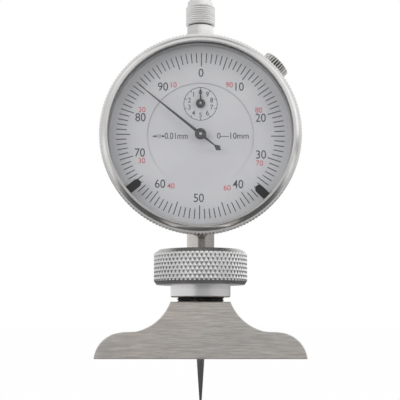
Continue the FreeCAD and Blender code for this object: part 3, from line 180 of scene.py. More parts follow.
def turning_tree():
    """A tree that spins a profile of (radius, 0, height) round Z and cuts one land with a knurl."""
    tree = bpy.data.node_groups.new("turn_and_knurl", "GeometryNodeTree")
    tree.interface.new_socket("Geometry", in_out="OUTPUT", socket_type="NodeSocketGeometry")
    tree.interface.new_socket("Profile", in_out="INPUT", socket_type="NodeSocketGeometry")
    kinds = {"Columns": "Int", "Land Low": "Float", "Land High": "Float", "Land Radius": "Float",
             "Starts": "Float", "Turns per Metre": "Float", "Cross Starts": "Float",
             "Cross Turns per Metre": "Float", "Cross Offset": "Float", "Depth": "Float",
             "Pad": "Float", "Finish": "Material"}
    for name, kind in kinds.items():
        tree.interface.new_socket(name, in_out="INPUT", socket_type="NodeSocket" + kind)
    sheet = Sheet(tree)
    given = {s.name: Wire(sheet, s) for s in tree.nodes.new("NodeGroupInput").outputs}
    rows = sheet.add("GeometryNodeAttributeDomainSize", None, {"Geometry": given["Profile"]},
                     "Point Count")
    grid = sheet.add("GeometryNodeMeshGrid", None, {"Size X": 1.0, "Size Y": 1.0, "Vertices X": rows,
                                                    "Vertices Y": given["Columns"] + 1}, "Mesh")
    across, around, _ = sheet.parts(sheet.add("GeometryNodeInputPosition"))
    row = sheet.sum("ROUND", (across + 0.5) * (rows - 1))
    turn = around + 0.5
    here = sheet.add("GeometryNodeInputPosition")
    point = sheet.add("GeometryNodeSampleIndex", {"data_type": "FLOAT_VECTOR", "domain": "POINT"},
                      {"Geometry": given["Profile"], "Value": here, "Index": row}, "Value")
    radius, _, height = sheet.parts(point)

    def groove(phase):
        return sheet.sum("ABSOLUTE", (phase % 1.0) * 2 - 1)

    first = groove(turn * given["Starts"] + height * given["Turns per Metre"])
    across_turns = turn * given["Cross Starts"] + height * given["Cross Turns per Metre"]
    second = groove(across_turns + given["Cross Offset"])
    nearest = sheet.sum("MINIMUM", sheet.sum("MINIMUM", first, second), given["Pad"])
    cut = (1 - nearest / given["Pad"]) * given["Depth"]
    on_land = (height > given["Land Low"]) * (height < given["Land High"])
    on_land = on_land * (radius > given["Land Radius"])
    radius = radius - cut * on_land
    angle = turn * math.tau
    spot = sheet.joined(radius * sheet.sum("COSINE", angle), radius * sheet.sum("SINE", angle), height)
    placed = sheet.add("GeometryNodeSetPosition", None, {"Geometry": grid, "Position": spot})
    sewn = sheet.add("GeometryNodeMergeByDistance", None, {"Geometry": placed, "Distance": SEAM})
    solid = sheet.add("GeometryNodeRealizeInstances", None, {"Geometry": sewn})
    done = sheet.add("GeometryNodeSetMaterial", None, {"Geometry": solid, "Material": given["Finish"]})
    tree.links.new(done.end, tree.nodes.new("NodeGroupOutput").inputs["Geometry"])
    return tree


def made(name, start, tree, values, place=Matrix()):
    """Runs a tree on a starting mesh, keeps the result as a plain mesh and puts it in its place."""
    piece = bpy.data.objects.new(name, start)
    bpy.context.scene.collection.objects.link(piece)
    step = piece.modifiers.new(name, "NODES")
    step.node_group = tree
    for item in tree.interface.items_tree:
        if item.in_out == "INPUT" and item.name in values:
            step[item.identifier] = values[item.name]
    ready = piece.evaluated_get(bpy.context.evaluated_depsgraph_get())
    shape = bpy.data.meshes.new_from_object(ready)
    piece.modifiers.remove(step)
    shape.transform(place)
    piece.data = shape
    work = bmesh.new()
    work.from_mesh(shape)
    bmesh.ops.recalc_face_normals(work, faces=work.faces)
    work.to_mesh(shape)
    work.free()
    return piece


ROUNDING = 1e-6


def outline(points, land=None, step=None):
    """A mesh of the profile's points, in mm; the land between two heights gets extra rows."""
    rows = []
    for (r0, z0), (r1, z1) in zip(points, points[1:]):
        count = 1
        low, high = min(z0, z1), max(z0, z1)
        if land and r0 == r1 and low >= land[0] - ROUNDING and high <= land[1] + ROUNDING:
            count = max(1, round((high - low) / step))
        rows += [(r0 + (r1 - r0) * i / count, z0 + (z1 - z0) * i / count) for i in range(count)]
    rows.append(points[-1])
    shape = bpy.data.meshes.new("profile")
    shape.from_pydata([(r / 1000, 0, z / 1000) for r, z in rows], [], [])
    return shape


turning = turning_tree()
ABOUT_SPINDLE = Matrix()
SMOOTH_COLUMNS = 96
SHARP_DEG = 28
LAND_MARGIN = 0.005
LAND_REACH = 0.3


def turned(name, body, node, points, finish, columns=SMOOTH_COLUMNS, place=ABOUT_SPINDLE,
           knurl=None):
    """A turned piece. Its knurl is (low, high), (starts, turns per mm) of both families of grooves,
    the depth, the share of a tooth that slopes, and the step between rows, all in mm. It cuts what
    lies within a small reach of the largest radius."""
    values = {"Columns": columns, "Land Low": 1.0, "Land High": -1.0, "Depth": 0.0, "Pad": 1.0,
              "Finish": finish}
    land, step = None, None
    if knurl:
        land, first, second, depth, pad, step = knurl
        values.update({"Land Low": (land[0] - LAND_MARGIN) / 1000,
                       "Land High": (land[1] + LAND_MARGIN) / 1000,
                       "Land Radius": (max(r for r, z in points) - LAND_REACH) / 1000,
                       "Starts": float(first[0]), "Turns per Metre": first[1] * 1000.0,
                       "Cross Starts": float(second[0]), "Cross Turns per Metre": second[1] * 1000.0,
                       "Cross Offset": -second[1] * land[0],
                       "Depth": depth / 1000, "Pad": float(pad)})
    piece = made(name, outline(points, land, step), turning, values, place)
    piece.data.shade_smooth()
    piece.data.set_sharp_from_angle(angle=math.radians(SHARP_DEG))
    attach(piece, body)
    if node:
        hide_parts(node)
    return piece


finish, sheet = finish_sheet("black_oxide")
place = sheet.add("ShaderNodeTexCoord", output="Object")
grain = sheet.noise(place, 5200.0, 3.0, 0.6)
wear = sheet.ramp(sheet.noise(place, 900.0, 4.0, 0.7), 0.5, 0.7)
tone = sheet.blend(wear, (0.03, 0.029, 0.027, 1.0), (0.14, 0.13, 0.12, 1.0))
GRAIN_DEPTH = 0.000006
surface(sheet, {"Base Color": tone, "Metallic": 0.6, "Roughness": 0.38 + grain * 0.2}, grain,
        GRAIN_DEPTH)
black_oxide = finish
THREAD_PITCH = 0.75
THREAD_DEPTH = 0.4
THREAD_ROWS = 8
THREAD_LOW, THREAD_HIGH = 16.0, 24.4
NO_CROSS = (0, 0.0)
turned("collet_body", "depth_base", "collet",
       [(3.0, 8.0), (6.0, 8.0), (6.0, 16.0), (6.8, 16.0), (6.8, 24.4), (6.2, 25.0), (5.3, 29.5),
        (4.03, 29.5), (4.03, 11.6), (3.0, 11.6), (3.0, 8.0)],
       black_oxide, knurl=((THREAD_LOW, THREAD_HIGH), (1, 1 / THREAD_PITCH), NO_CROSS, THREAD_DEPTH,
                           0.85, THREAD_PITCH / THREAD_ROWS))


# Clamp nut: turned steel with a rolled diamond knurl, then satin chrome plated. Its neck is threaded
# for the collet, and the taper inside closes the collet's fingers on the stem.
DIRT_SHADE = 0.45
# The share of light left in a knurl's grooves: painted shade put into the colour.
GROOVE_PAINTED_SHADE = 0.22


def darker(tone, share):
    """A colour with this share of its light."""
    return [part * share for part in tone[:3]] + [1.0]


def turned_metal(name, tone, roughness, axis_turn=(0, 0, 0), axis_shift=(0, 0, 0), marks=3000.0,
                 relief=0.000003, metallic=1.0, tarnish=0.08, grooves=None):
    """Metal with fine tool marks round its own axis and a faint uneven tarnish. Its grooves are the own
    heights between which it is knurled and the radii of their bottom and top, in mm; between them the
    colour is darkened as painted shade."""
    finish, sheet = finish_sheet(name)
    place = sheet.add("ShaderNodeTexCoord", output="Object")
    own = sheet.add("ShaderNodeMapping", None, {"Vector": place, "Location": axis_shift,
                                                "Rotation": [math.radians(a) for a in axis_turn]})
    x, y, height = sheet.parts(own)
    radius = sheet.sum("SQRT", x * x + y * y)
    line = sheet.noise(sheet.joined(radius, 0.0, height), marks, 3.0, 0.65)
    cloud = sheet.noise(place, 160.0, 4.0, 0.6)
    dirt = sheet.ramp(sheet.noise(place, 1400.0, 3.0, 0.6), 0.62, 0.8)
    dull = sheet.blend(sheet.ramp(cloud, 0.35, 0.7), tone, darker(tone, 1 - tarnish))
    dull = sheet.blend(dirt * 0.5, dull, darker(tone, DIRT_SHADE))
    band = sheet.noise(sheet.joined(radius, 0.0, height), marks / 4, 2.0, 0.5)
    lined = sheet.add("ShaderNodeVectorMath", {"operation": "SCALE"},
                      {0: dull, "Scale": sheet.ramp(line * 0.5 + band * 0.5, 0.3, 0.7, 0.9, 1.04)})
    # Painted shade: inside the knurl's grooves the colour is darkened, where shade falls in the
    # creases.
    if grooves:
        low, high, bottom, top = (size / 1000 for size in grooves)
        inside = (height > low) * (height < high) * (1 - sheet.ramp(radius, bottom, top))
        lined = sheet.blend(inside, lined, darker(tone, GROOVE_PAINTED_SHADE))
    surface(sheet, {"Base Color": lined, "Metallic": metallic,
                    "Roughness": roughness - 0.05 + line * 0.12 + cloud * 0.06}, line, relief)
    return finish


NUT_STARTS = 64
NUT_RADIUS = 13.6
NUT_KNURL = (22.0, 30.0)
NUT_KNURL_DEPTH = 0.36
KNURL_SLANT = math.tan(math.radians(30))
TOOTH_COLUMNS = 8


def diamond(low, high, starts, radius, depth, pad):
    """A diamond knurl whose creases run exactly through the mesh's rows and columns."""
    lean = starts * KNURL_SLANT / (math.tau * radius)
    return (low, high), (starts, lean), (starts, -lean), depth, pad, 1 / (TOOTH_COLUMNS * lean)


satin_chrome = turned_metal("satin_chrome", (0.95, 0.94, 0.94, 1.0), 0.26, tarnish=0.05)
turned("clamp_nut_body", "clamp_nut", "clamp_nut",
       [(6.87, 17.4), (8.4, 17.4), (8.7, 17.7), (8.7, 21.0), (12.8, 21.0), (13.6, 22.0), (13.6, 30.0),
        (12.0, 31.1), (4.3, 31.1), (4.3, 29.8), (5.37, 29.5), (6.27, 25.0), (6.87, 24.4), (6.87, 17.4)],
       satin_chrome, NUT_STARTS * TOOTH_COLUMNS,
       knurl=diamond(*NUT_KNURL, NUT_STARTS, NUT_RADIUS, NUT_KNURL_DEPTH, 0.75))


# Stem: a ground and polished steel tube that the collet grips. A bronze bush that guides the spindle
# is pressed into its lower end, and another into the upper sleeve.
stem_steel = turned_metal("stem_steel", (0.70, 0.67, 0.63, 1.0), 0.13, marks=5000.0, relief=0.000001)
turned("stem_tube", "stem", "stem",
       [(2.5, 15.0), (3.7, 15.0), (4.0, 15.3), (4.0, 42.0), (2.5, 42.0), (2.5, 15.0)], stem_steel)
bronze = turned_metal("bush_bronze", (0.62, 0.43, 0.24, 1.0), 0.32)
painted("lower_bush", bronze)
painted("upper_bush", bronze)


# Case: a cast ring, turned and satin chrome plated, with its back cover and screws, the upper sleeve,
# the snap ring that holds the bezel on and the shoe that clamps it.
TO_DIAL = {"axis_turn": (90, 0, 0), "axis_shift": (0, 0.064, 0)}
case_chrome = turned_metal("case_chrome", (0.70, 0.70, 0.69, 1.0), 0.26, **TO_DIAL)
for node in ("case", "snap_ring", "clamp_shoe"):
    painted(node, case_chrome)
back_metal = turned_metal("back_metal", (0.62, 0.62, 0.61, 1.0), 0.34, **TO_DIAL)
painted("back_cover", back_metal)


def copies_tree():
    """A tree that sets copies of one item round Z, leaving out every nth if it is told to."""
    tree = bpy.data.node_groups.new("copies_round", "GeometryNodeTree")
    tree.interface.new_socket("Geometry", in_out="OUTPUT", socket_type="NodeSocketGeometry")
    tree.interface.new_socket("Item", in_out="INPUT", socket_type="NodeSocketGeometry")
    for name, kind in {"Count": "Int", "Leave Out": "Int", "Finish": "Material"}.items():
        tree.interface.new_socket(name, in_out="INPUT", socket_type="NodeSocket" + kind)
    sheet = Sheet(tree)
    given = {s.name: Wire(sheet, s) for s in tree.nodes.new("NodeGroupInput").outputs}
    points = sheet.add("GeometryNodePoints", None, {"Count": given["Count"], "Radius": 0.001})
    index = sheet.add("GeometryNodeInputIndex")
    kept = sheet.sum("MAXIMUM", (index % given["Leave Out"]) > 0.5, given["Leave Out"] < 0.5)
    angle = index * math.tau / given["Count"]
    turn = sheet.add("FunctionNodeEulerToRotation", None, {0: sheet.joined(0.0, 0.0, angle)})
    copies = sheet.add("GeometryNodeInstanceOnPoints", None, {
        "Points": points, "Selection": kept, "Instance": given["Item"], "Rotation": turn})
    solid = sheet.add("GeometryNodeRealizeInstances", None, {"Geometry": copies})
    done = sheet.add("GeometryNodeSetMaterial", None, {"Geometry": solid, "Material": given["Finish"]})
    tree.links.new(done.end, tree.nodes.new("NodeGroupOutput").inputs["Geometry"])
    return tree


copies = copies_tree()


HEAD_COLUMNS = 32
HALF_STEPS = 14
HEAD_EDGE = 0.12
SLOT_FLOOR = 0.45
SLOT_TURN = 1.7


def screw_heads(radius, height, slot, away, first_deg):
    """Two slotted cheese heads at a distance from Z, in mm, one on each side of X."""
    work = bmesh.new()
    floor_z = height * SLOT_FLOOR
    for side in (0, math.pi):
        loops = []
        for r, z in ((radius, floor_z), (radius, height - HEAD_EDGE), (radius - HEAD_EDGE, height)):
            low = math.asin(slot / 2 / r)
            arc = [low + (math.pi - 2 * low) * i / HALF_STEPS + side for i in range(HALF_STEPS + 1)]
            loops.append([work.verts.new((r * math.cos(a), r * math.sin(a), z)) for a in arc])
        for below, above in zip(loops, loops[1:]):
            count = len(below)
            for i in range(count):
                work.faces.new((below[i], below[(i + 1) % count], above[(i + 1) % count], above[i]))
        work.faces.new(loops[-1])
        work.faces.new(loops[0][::-1])
    angles = [math.tau * i / HEAD_COLUMNS for i in range(HEAD_COLUMNS)]
    ring = [(radius * math.cos(angle), radius * math.sin(angle)) for angle in angles]
    bottom = [work.verts.new((x, y, 0)) for x, y in ring]
    top = [work.verts.new((x, y, floor_z)) for x, y in ring]
    for i in range(HEAD_COLUMNS):
        after = (i + 1) % HEAD_COLUMNS
        work.faces.new((bottom[i], bottom[after], top[after], top[i]))
    work.faces.new(top)
    work.faces.new(bottom[::-1])
    bmesh.ops.recalc_face_normals(work, faces=work.faces)
    shape = bpy.data.meshes.new("screw_head")
    work.to_mesh(shape)
    work.free()
    both = bmesh.new()
    for angle in (first_deg, -first_deg):
        one = shape.copy()
        one.transform(Matrix.Scale(0.001, 4) @ Matrix.Rotation(math.radians(angle), 4, "Z")
                      @ Matrix.Translation((away, 0, 0))
                      @ Matrix.Rotation(math.radians(angle * SLOT_TURN), 4, "Z"))
        both.from_mesh(one)
    both.to_mesh(shape)
    both.free()
    return shape


screw_steel = turned_metal("screw_steel", (0.60, 0.59, 0.57, 1.0), 0.26)
BACK_COVER_Y = 0.0084
MAIN_PLATE_Y = -0.0031
SCREW_SLOT = 0.45
SCREWS_AWAY = 24.0
SCREWS_DEG = 30.0
FACING_BACK = Matrix.Translation((0, BACK_COVER_Y, 0.064)) @ Matrix.Rotation(math.radians(-90), 4, "X")
FACING_FRONT = Matrix.Translation((0, MAIN_PLATE_Y, 0.064)) @ Matrix.Rotation(math.radians(90), 4, "X")
for name, radius, height, place in (("back_cover_screws", 1.7, 0.8, FACING_BACK),
                                    ("main_plate_screws", 1.3, 0.5, FACING_FRONT)):
    piece = made(name, screw_heads(radius, height, SCREW_SLOT, SCREWS_AWAY, SCREWS_DEG), copies,
                 {"Count": 2, "Leave Out": 0, "Finish": screw_steel}, place)
    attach(piece, "case")
sleeve_chrome = turned_metal("sleeve_chrome", (0.90, 0.89, 0.88, 1.0), 0.14, tarnish=0.06)
turned("upper_sleeve_tube", "case", "upper_sleeve",
       [(2.5, 86.0), (3.95, 86.0), (3.95, 97.7), (3.65, 98.0), (2.5, 98.0), (2.5, 86.0)], sleeve_chrome)


# Movement and spindle: brass plates and wheels, cut and screwed or riveted together, with hardened
# steel pinions, arbors and springs. The ground needle is screwed into the spindle's lower end.
brass = turned_metal("brass", (0.72, 0.52, 0.22, 1.0), 0.3, **TO_DIAL)
for node in ("main_plate", "bridge", "pinion_cock", "bridge_pillars", "first_wheel", "counter_wheel",
             "hairspring_collet", "hairspring_stud", "guide_block"):
    painted(node, brass)
bright_steel = turned_metal("bright_steel", (0.68, 0.68, 0.68, 1.0), 0.2)
turned("contact_needle_body", "spindle", "contact_needle",
       [(0, -13.5), (0.125, -13.5), (0.25, -13.25), (1.2, 1.0), (2.0, 1.0), (2.0, 3.2), (1.25, 3.2),
        (1.25, 7.7), (0, 7.7)], bright_steel)
for node in ("spindle", "guide_pin", "rack_pinion", "centre_pinion", "counter_arbor", "spring_post"):
    painted(node, bright_steel)
spring_steel = turned_metal("spring_steel", (0.42, 0.43, 0.46, 1.0), 0.28)
painted("return_spring", spring_steel)
painted("hairspring", spring_steel)


# Lift cap: turned and bright plated, screwed on the spindle's top. Straight flutes crossed by rings
# give the fingers their grip, and its underside is the spindle's lower stop.
def checkered(low, high, teeth, rings, depth, pad):
    """Straight flutes crossed by a whole number of rings."""
    per_mm = rings / (high - low)
    return (low, high), (teeth, 0.0), (0, per_mm), depth, pad, 1 / (TOOTH_COLUMNS * per_mm)


CAP_TEETH = 44
CAP_RINGS = 8
CAP_KNURL = (98.4, 103.6)
CAP_KNURL_DEPTH = 0.15
# Painted shade darkens the colour in the knurl's grooves.
cap_chrome = turned_metal("cap_chrome", (0.97, 0.96, 0.95, 1.0), 0.22, tarnish=0.04,
                          grooves=(*CAP_KNURL, 4.12, 4.26))
turned("lift_cap_body", "spindle", "lift_cap",
       [(2.02, 98.1), (4.05, 98.1), (4.35, 98.4), (4.35, 103.6), (4.05, 103.9), (3.8, 103.9),
        (3.8, 105.4), (2.65, 106.55), (0, 106.55)],
       cap_chrome, CAP_TEETH * TOOTH_COLUMNS,
       knurl=checkered(*CAP_KNURL, CAP_TEETH, CAP_RINGS, CAP_KNURL_DEPTH, 0.7))


# Bezel: a turned and plated ring that carries crystal, spacer and dial ring, and turns on the case.
# Its rim is knurled for the fingers, and the bore in front of the crystal is blackened.
INK_RELIEF = 0.000003


def lacquer(name, dark, light, roughness):
    """Thin printed or brushed paint, slightly uneven."""
    finish, sheet = finish_sheet(name)
    place = sheet.add("ShaderNodeTexCoord", output="Object")
    thin = sheet.noise(place, 2600.0, 3.0, 0.6)
    surface(sheet, {"Base Color": sheet.blend(thin, dark, light),
                    "Roughness": roughness - 0.1 + thin * 0.2}, thin, INK_RELIEF)
    return finish


ABOUT_DIAL = Matrix.Translation((0, 0, 0.064)) @ Matrix.Rotation(math.radians(-90), 4, "X")
bore_black = lacquer("bore_black", (0.008, 0.007, 0.007, 1.0), (0.02, 0.018, 0.017, 1.0), 0.5)
BEZEL_TEETH = 180
BEZEL_RINGS = 5
BEZEL_KNURL = (-10.7, -5.7)
BEZEL_KNURL_DEPTH = 0.34
# Painted shade darkens the colour in the knurl's grooves.
bezel_chrome = turned_metal("bezel_chrome", (0.90, 0.89, 0.88, 1.0), 0.2, tarnish=0.06,
                            grooves=(*BEZEL_KNURL, 28.66, 28.97), **TO_DIAL)
bezel = turned("bezel_body", "bezel", "bezel",
       [(27.96, -4.4), (28.3, -4.4), (28.3, -5.7), (29.0, -5.7), (29.0, -10.7), (28.25, -10.7),
        (27.5, -12.6), (27.1, -13.0), (26.4, -13.0), (26.4, -11.3), (26.77, -11.3), (26.77, -9.4),
        (27.96, -9.4), (27.96, -7.85), (28.26, -7.85), (28.26, -7.15), (27.96, -7.15), (27.96, -4.4)],
       bezel_chrome, BEZEL_TEETH * TOOTH_COLUMNS, ABOUT_DIAL,
       checkered(*BEZEL_KNURL, BEZEL_TEETH, BEZEL_RINGS, BEZEL_KNURL_DEPTH, 0.85))
bezel.data.materials.append(bore_black)
BORE_LIMIT = 0.0269
for face in bezel.data.polygons:
    out = Vector((face.center.x, face.center.z - 0.064))
    if out.length < BORE_LIMIT and abs(face.normal.y) < 0.5:
        face.material_index = 1


# Dials: two brass discs, silvered and printed. The ring turns with the bezel and carries the main
# scale; the middle disc is fixed to the case and carries the turn counter. The print is a thin
# raised layer of ink.
finish, sheet = finish_sheet("dial_silver")
place = sheet.add("ShaderNodeTexCoord", output="Object")
speck = sheet.noise(place, 3000.0, 3.0, 0.6)
cloud = sheet.noise(place, 90.0, 2.0)
tone = sheet.blend(sheet.ramp(cloud, 0.3, 0.7), (0.56, 0.56, 0.58, 1.0), (0.52, 0.52, 0.545, 1.0))
surface(sheet, {"Base Color": tone, "Metallic": 0.0, "Roughness": 0.45 + speck * 0.2}, speck,
        INK_RELIEF)
painted("dial_ring", finish)
painted("centre_dial", finish)
painted("dial_spacer_ring", back_metal)
PRINT_THICKNESS = 0.02
black_print = lacquer("black_print", (0.03, 0.03, 0.035, 1.0), (0.07, 0.07, 0.075, 1.0), 0.5)
red_print = lacquer("red_print", (0.47, 0.07, 0.09, 1.0), (0.54, 0.11, 0.13, 1.0), 0.5)


def bar(inner, outer, width):
    """A flat printed bar along +X between two radii, in mm."""
    shape = bpy.data.meshes.new("bar")
    work = bmesh.new()
    bmesh.ops.create_cube(work, size=1.0)
    for vertex in work.verts:
        vertex.co = Vector(((inner + outer) / 2 + vertex.co.x * (outer - inner), vertex.co.y * width,
                            (vertex.co.z + 0.5) * PRINT_THICKNESS)) / 1000
    work.to_mesh(shape)
    work.free()
    return shape


def on_dial(face_y, x=0.0, z=64.0, turn_deg=0.0):
    """Stands what lies flat in XY up on the dial at this depth, facing the front."""
    return (Matrix.Translation((x / 1000, face_y / 1000, z / 1000))
            @ Matrix.Rotation(math.radians(turn_deg), 4, "Y")
            @ Matrix.Rotation(math.radians(90), 4, "X"))


PRINT_TURN = 0.7
DIAL_FACE = -6.0
CENTRE_FACE = -5.55
TICK_OUTER = 24.4
TICK_WIDTH = 0.28
for name, count, leave_out, inner in (("dial_ticks", 100, 5, 21.45), ("dial_long_ticks", 20, 0, 20.4)):
    item = bar(inner, TICK_OUTER, TICK_WIDTH)
    piece = made(name, item, copies, {"Count": count, "Leave Out": leave_out, "Finish": black_print},
                 on_dial(DIAL_FACE, turn_deg=PRINT_TURN))
    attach(piece, "bezel")


WORD_WEIGHT = 0.000018
WORD_HALF_THICKNESS = 0.00001
CAPITAL_SHARE = 0.70


def lettering(name, body, words, face_y, finish):
    """Flat printed words: each is (text, x, z, height, width share), in mm on the dial's face."""
    work = bmesh.new()
    for text, x, z, height, share in words:
        curve = bpy.data.curves.new("word", "FONT")
        curve.body = text
        curve.size = height / CAPITAL_SHARE / 1000
        curve.align_x = "CENTER"
        curve.align_y = "CENTER"
        curve.extrude = WORD_HALF_THICKNESS
        curve.offset = WORD_WEIGHT
        word = bpy.data.objects.new("word", curve)
        bpy.context.scene.collection.objects.link(word)
        ready = word.evaluated_get(bpy.context.evaluated_depsgraph_get())
        shape = bpy.data.meshes.new_from_object(ready)
        shape.transform(Matrix.Diagonal((share, 1, 1, 1)))
        shape.transform(on_dial(face_y - WORD_HALF_THICKNESS * 1000, x, z))
        work.from_mesh(shape)
        bpy.data.objects.remove(word)
    shape = bpy.data.meshes.new(name)
    bmesh.ops.remove_doubles(work, verts=work.verts, dist=1e-8)
    work.to_mesh(shape)
    work.free()
    shape.materials.append(finish)
    piece = bpy.data.objects.new(name, shape)
    bpy.context.scene.collection.objects.link(piece)
    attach(piece, body)


PIXELS_PER_MM = 3.47
PHOTO_CENTRE = (199.47, 135.42)


def from_photo(px, py):
    """Where a spot of the photograph's dial lies, as x and z in mm."""
    return (px - PHOTO_CENTRE[0]) / PIXELS_PER_MM, 64.0 + (PHOTO_CENTRE[1] - py) / PIXELS_PER_MM


black_places = {"0": (200, 71.7), "10": (238, 86), "20": (260, 118), "30": (260, 155.5),
                "40": (237, 185.5), "50": (197.6, 199.3), "60": (159, 185), "70": (138.5, 153.5),
                "80": (139, 117.5), "90": (161.5, 86)}
red_places = {"10": (171.8, 84), "20": (140.5, 109.5), "30": (140.5, 161.5), "40": (170, 187),
              "60": (226, 189), "70": (258.5, 164), "80": (258, 110), "90": (228.5, 84)}
for name, places, height, share, ink in (("dial_numbers", black_places, 2.45, 0.9, black_print),
                                         ("dial_red_numbers", red_places, 1.55, 0.98, red_print)):
    words = [(text, *from_photo(*spot), height, share) for text, spot in places.items()]
    lettering(name, "bezel", words, DIAL_FACE, ink)
COUNTER_Z = 73.35
WORDS_AWAY = 3.4
steps = [math.radians(36 * i) for i in range(10)]
counter = [(str(i), -WORDS_AWAY * math.sin(step), COUNTER_Z + WORDS_AWAY * math.cos(step), 1.45, 0.9)
           for i, step in enumerate(steps)]
sizes = [("0.01mm", -6.99, 63.8, 1.85, 0.8), ("0\u201410mm", 9.4, 63.85, 1.75, 0.93)]
lettering("centre_numbers", "case", counter + sizes, CENTRE_FACE, black_print)
turned("counter_circle", "case", None,
       [(4.76, 0.0), (4.93, 0.0), (4.93, PRINT_THICKNESS), (4.76, PRINT_THICKNESS), (4.76, 0.0)],
       black_print, place=on_dial(CENTRE_FACE, z=COUNTER_Z))
piece = made("counter_ticks", bar(4.2, 4.8, 0.17), copies,
             {"Count": 10, "Leave Out": 0, "Finish": black_print},
             on_dial(CENTRE_FACE, z=COUNTER_Z, turn_deg=18.0))
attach(piece, "case")


def printed_shapes(name, body, shapes, face_y, finish):
    """Flat printed figures, each a loop of (x, z) points in mm."""
    work = bmesh.new()
    for loop in shapes:
        face = work.faces.new([work.verts.new((x / 1000, z / 1000, 0)) for x, z in loop])
        pushed = bmesh.ops.extrude_face_region(work, geom=[face])["geom"]
        bmesh.ops.translate(work, vec=(0, 0, PRINT_THICKNESS / 1000),
                            verts=[v for v in pushed if isinstance(v, bmesh.types.BMVert)])
    bmesh.ops.recalc_face_normals(work, faces=work.faces)
    shape = bpy.data.meshes.new(name)
    work.to_mesh(shape)
    work.free()
    shape.transform(on_dial(face_y, 0, 0))
    shape.materials.append(finish)
    piece = bpy.data.objects.new(name, shape)
    bpy.context.scene.collection.objects.link(piece)
    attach(piece, body)


MARK_Z = 63.8
HEAD_LENGTH, HEAD_HALF = 0.75, 0.45
ARROW_LENGTH, SHAFT_HALF = 1.4, 0.12
LINE_WIDTH, LINE_HALF = 0.2, 0.62
shapes = []
for tip, way in ((-12.6, 1), (-11.5, -1)):
    neck = tip - HEAD_LENGTH * way
    shapes.append([(tip, MARK_Z), (neck, MARK_Z + HEAD_HALF), (neck, MARK_Z - HEAD_HALF)])
    low, high = sorted((neck, tip - ARROW_LENGTH * way))
    shapes.append([(low, MARK_Z - SHAFT_HALF), (high, MARK_Z - SHAFT_HALF),
                   (high, MARK_Z + SHAFT_HALF), (low, MARK_Z + SHAFT_HALF)])
for x in (-12.45, -11.85):
    shapes.append([(x, MARK_Z - LINE_HALF), (x + LINE_WIDTH, MARK_Z - LINE_HALF),
                   (x + LINE_WIDTH, MARK_Z + LINE_HALF), (x, MARK_Z + LINE_HALF)])
printed_shapes("division_arrows", "case", shapes, CENTRE_FACE, black_print)


# Pointers: blackened steel strips riveted to turned hubs, which are pressed on the arbors' bright
# ends. The two limit markers are black sheet clips that slide round the dial's edge.
pointer_black = lacquer("pointer_black", (0.025, 0.025, 0.028, 1.0), (0.05, 0.05, 0.055, 1.0), 0.4)
painted("main_pointer", pointer_black)
painted("counter_pointer", pointer_black)
hub_black = turned_metal("hub_black", (0.10, 0.10, 0.105, 1.0), 0.3, relief=0.000006, **TO_DIAL)
pin_steel = turned_metal("pin_steel", (0.62, 0.62, 0.62, 1.0), 0.24, **TO_DIAL)
HUB_THICKNESS = 0.45
DISH_SHARE = 0.42
for name, body, z, radius, front_y in (
        ("main_pointer_hub", "centre_arbor", 64.0, 1.65, -8.65),
        ("counter_pointer_hub", "counter_arbor", COUNTER_Z, 1.23, -6.95)):
    about_hub = Matrix.Translation((0, 0, (z - 64.0) / 1000)) @ ABOUT_DIAL
    rear_y, dish, pin_y = front_y + HUB_THICKNESS, radius * DISH_SHARE, front_y + 0.14
    turned(name + "_cap", body, name,
           [(0, rear_y), (radius, rear_y), (radius, front_y + 0.16), (radius - 0.16, front_y),
            (dish + 0.1, front_y), (dish, front_y + 0.1), (0, front_y + 0.13)],
           hub_black, 64, about_hub)
    turned(name + "_pin", body, None,
           [(0, pin_y), (dish * 0.6, pin_y), (dish * 0.6, front_y + 0.07), (dish * 0.3, front_y + 0.03),
            (0, front_y + 0.02)], pin_steel, 48, about_hub)
marker_black = lacquer("marker_black", (0.012, 0.012, 0.013, 1.0), (0.03, 0.03, 0.03, 1.0), 0.4)
for node in ("limit_marker_left", "limit_marker_right"):
    painted(node, marker_black)


# Crystal: a flat disc of clear acrylic, pressed into the bezel from behind, with a trace of haze.
finish, sheet = finish_sheet("crystal_clear")
place = sheet.add("ShaderNodeTexCoord", output="Object")
haze = sheet.noise(place, 500.0, 4.0, 0.7)
surface(sheet, {"Base Color": (0.9, 0.92, 0.93, 1.0), "Roughness": 0.04 + haze * 0.06,
                "Alpha": 0.01 + haze * 0.04})
painted("crystal", finish)


# Bezel clamp screw: a small turned and plated knob with flutes, on a screw through the case's wall.
# It presses the shoe on the bezel.
TO_CLAMP = Matrix.Translation((0, 0, 0.064)) @ Matrix.Rotation(math.radians(45), 4, "Y")
# Painted shade darkens the colour in the flutes' grooves.
clamp_chrome = turned_metal("clamp_chrome", (0.80, 0.79, 0.77, 1.0), 0.2, axis_turn=(0, -45, 0),
                            axis_shift=(0.04525, 0, -0.04525), grooves=(29.2, 32.3, 3.85, 4.2))
KNOB_FLUTES = 30
KNOB_LOW, KNOB_HIGH = 29.3, 32.2
FLUTE_DEPTH = 0.5
turned("bezel_clamp_screw_body", "bezel_clamp_screw", "bezel_clamp_screw",
       [(0, 25.2), (1.5, 25.2), (1.5, 29.0), (4.0, 29.0), (4.3, KNOB_LOW), (4.3, KNOB_HIGH),
        (4.0, 32.5), (0, 32.5)],
       clamp_chrome, KNOB_FLUTES * TOOTH_COLUMNS, TO_CLAMP,
       ((KNOB_LOW, KNOB_HIGH), (KNOB_FLUTES, 0.0), NO_CROSS, FLUTE_DEPTH, 0.75, 1.0))


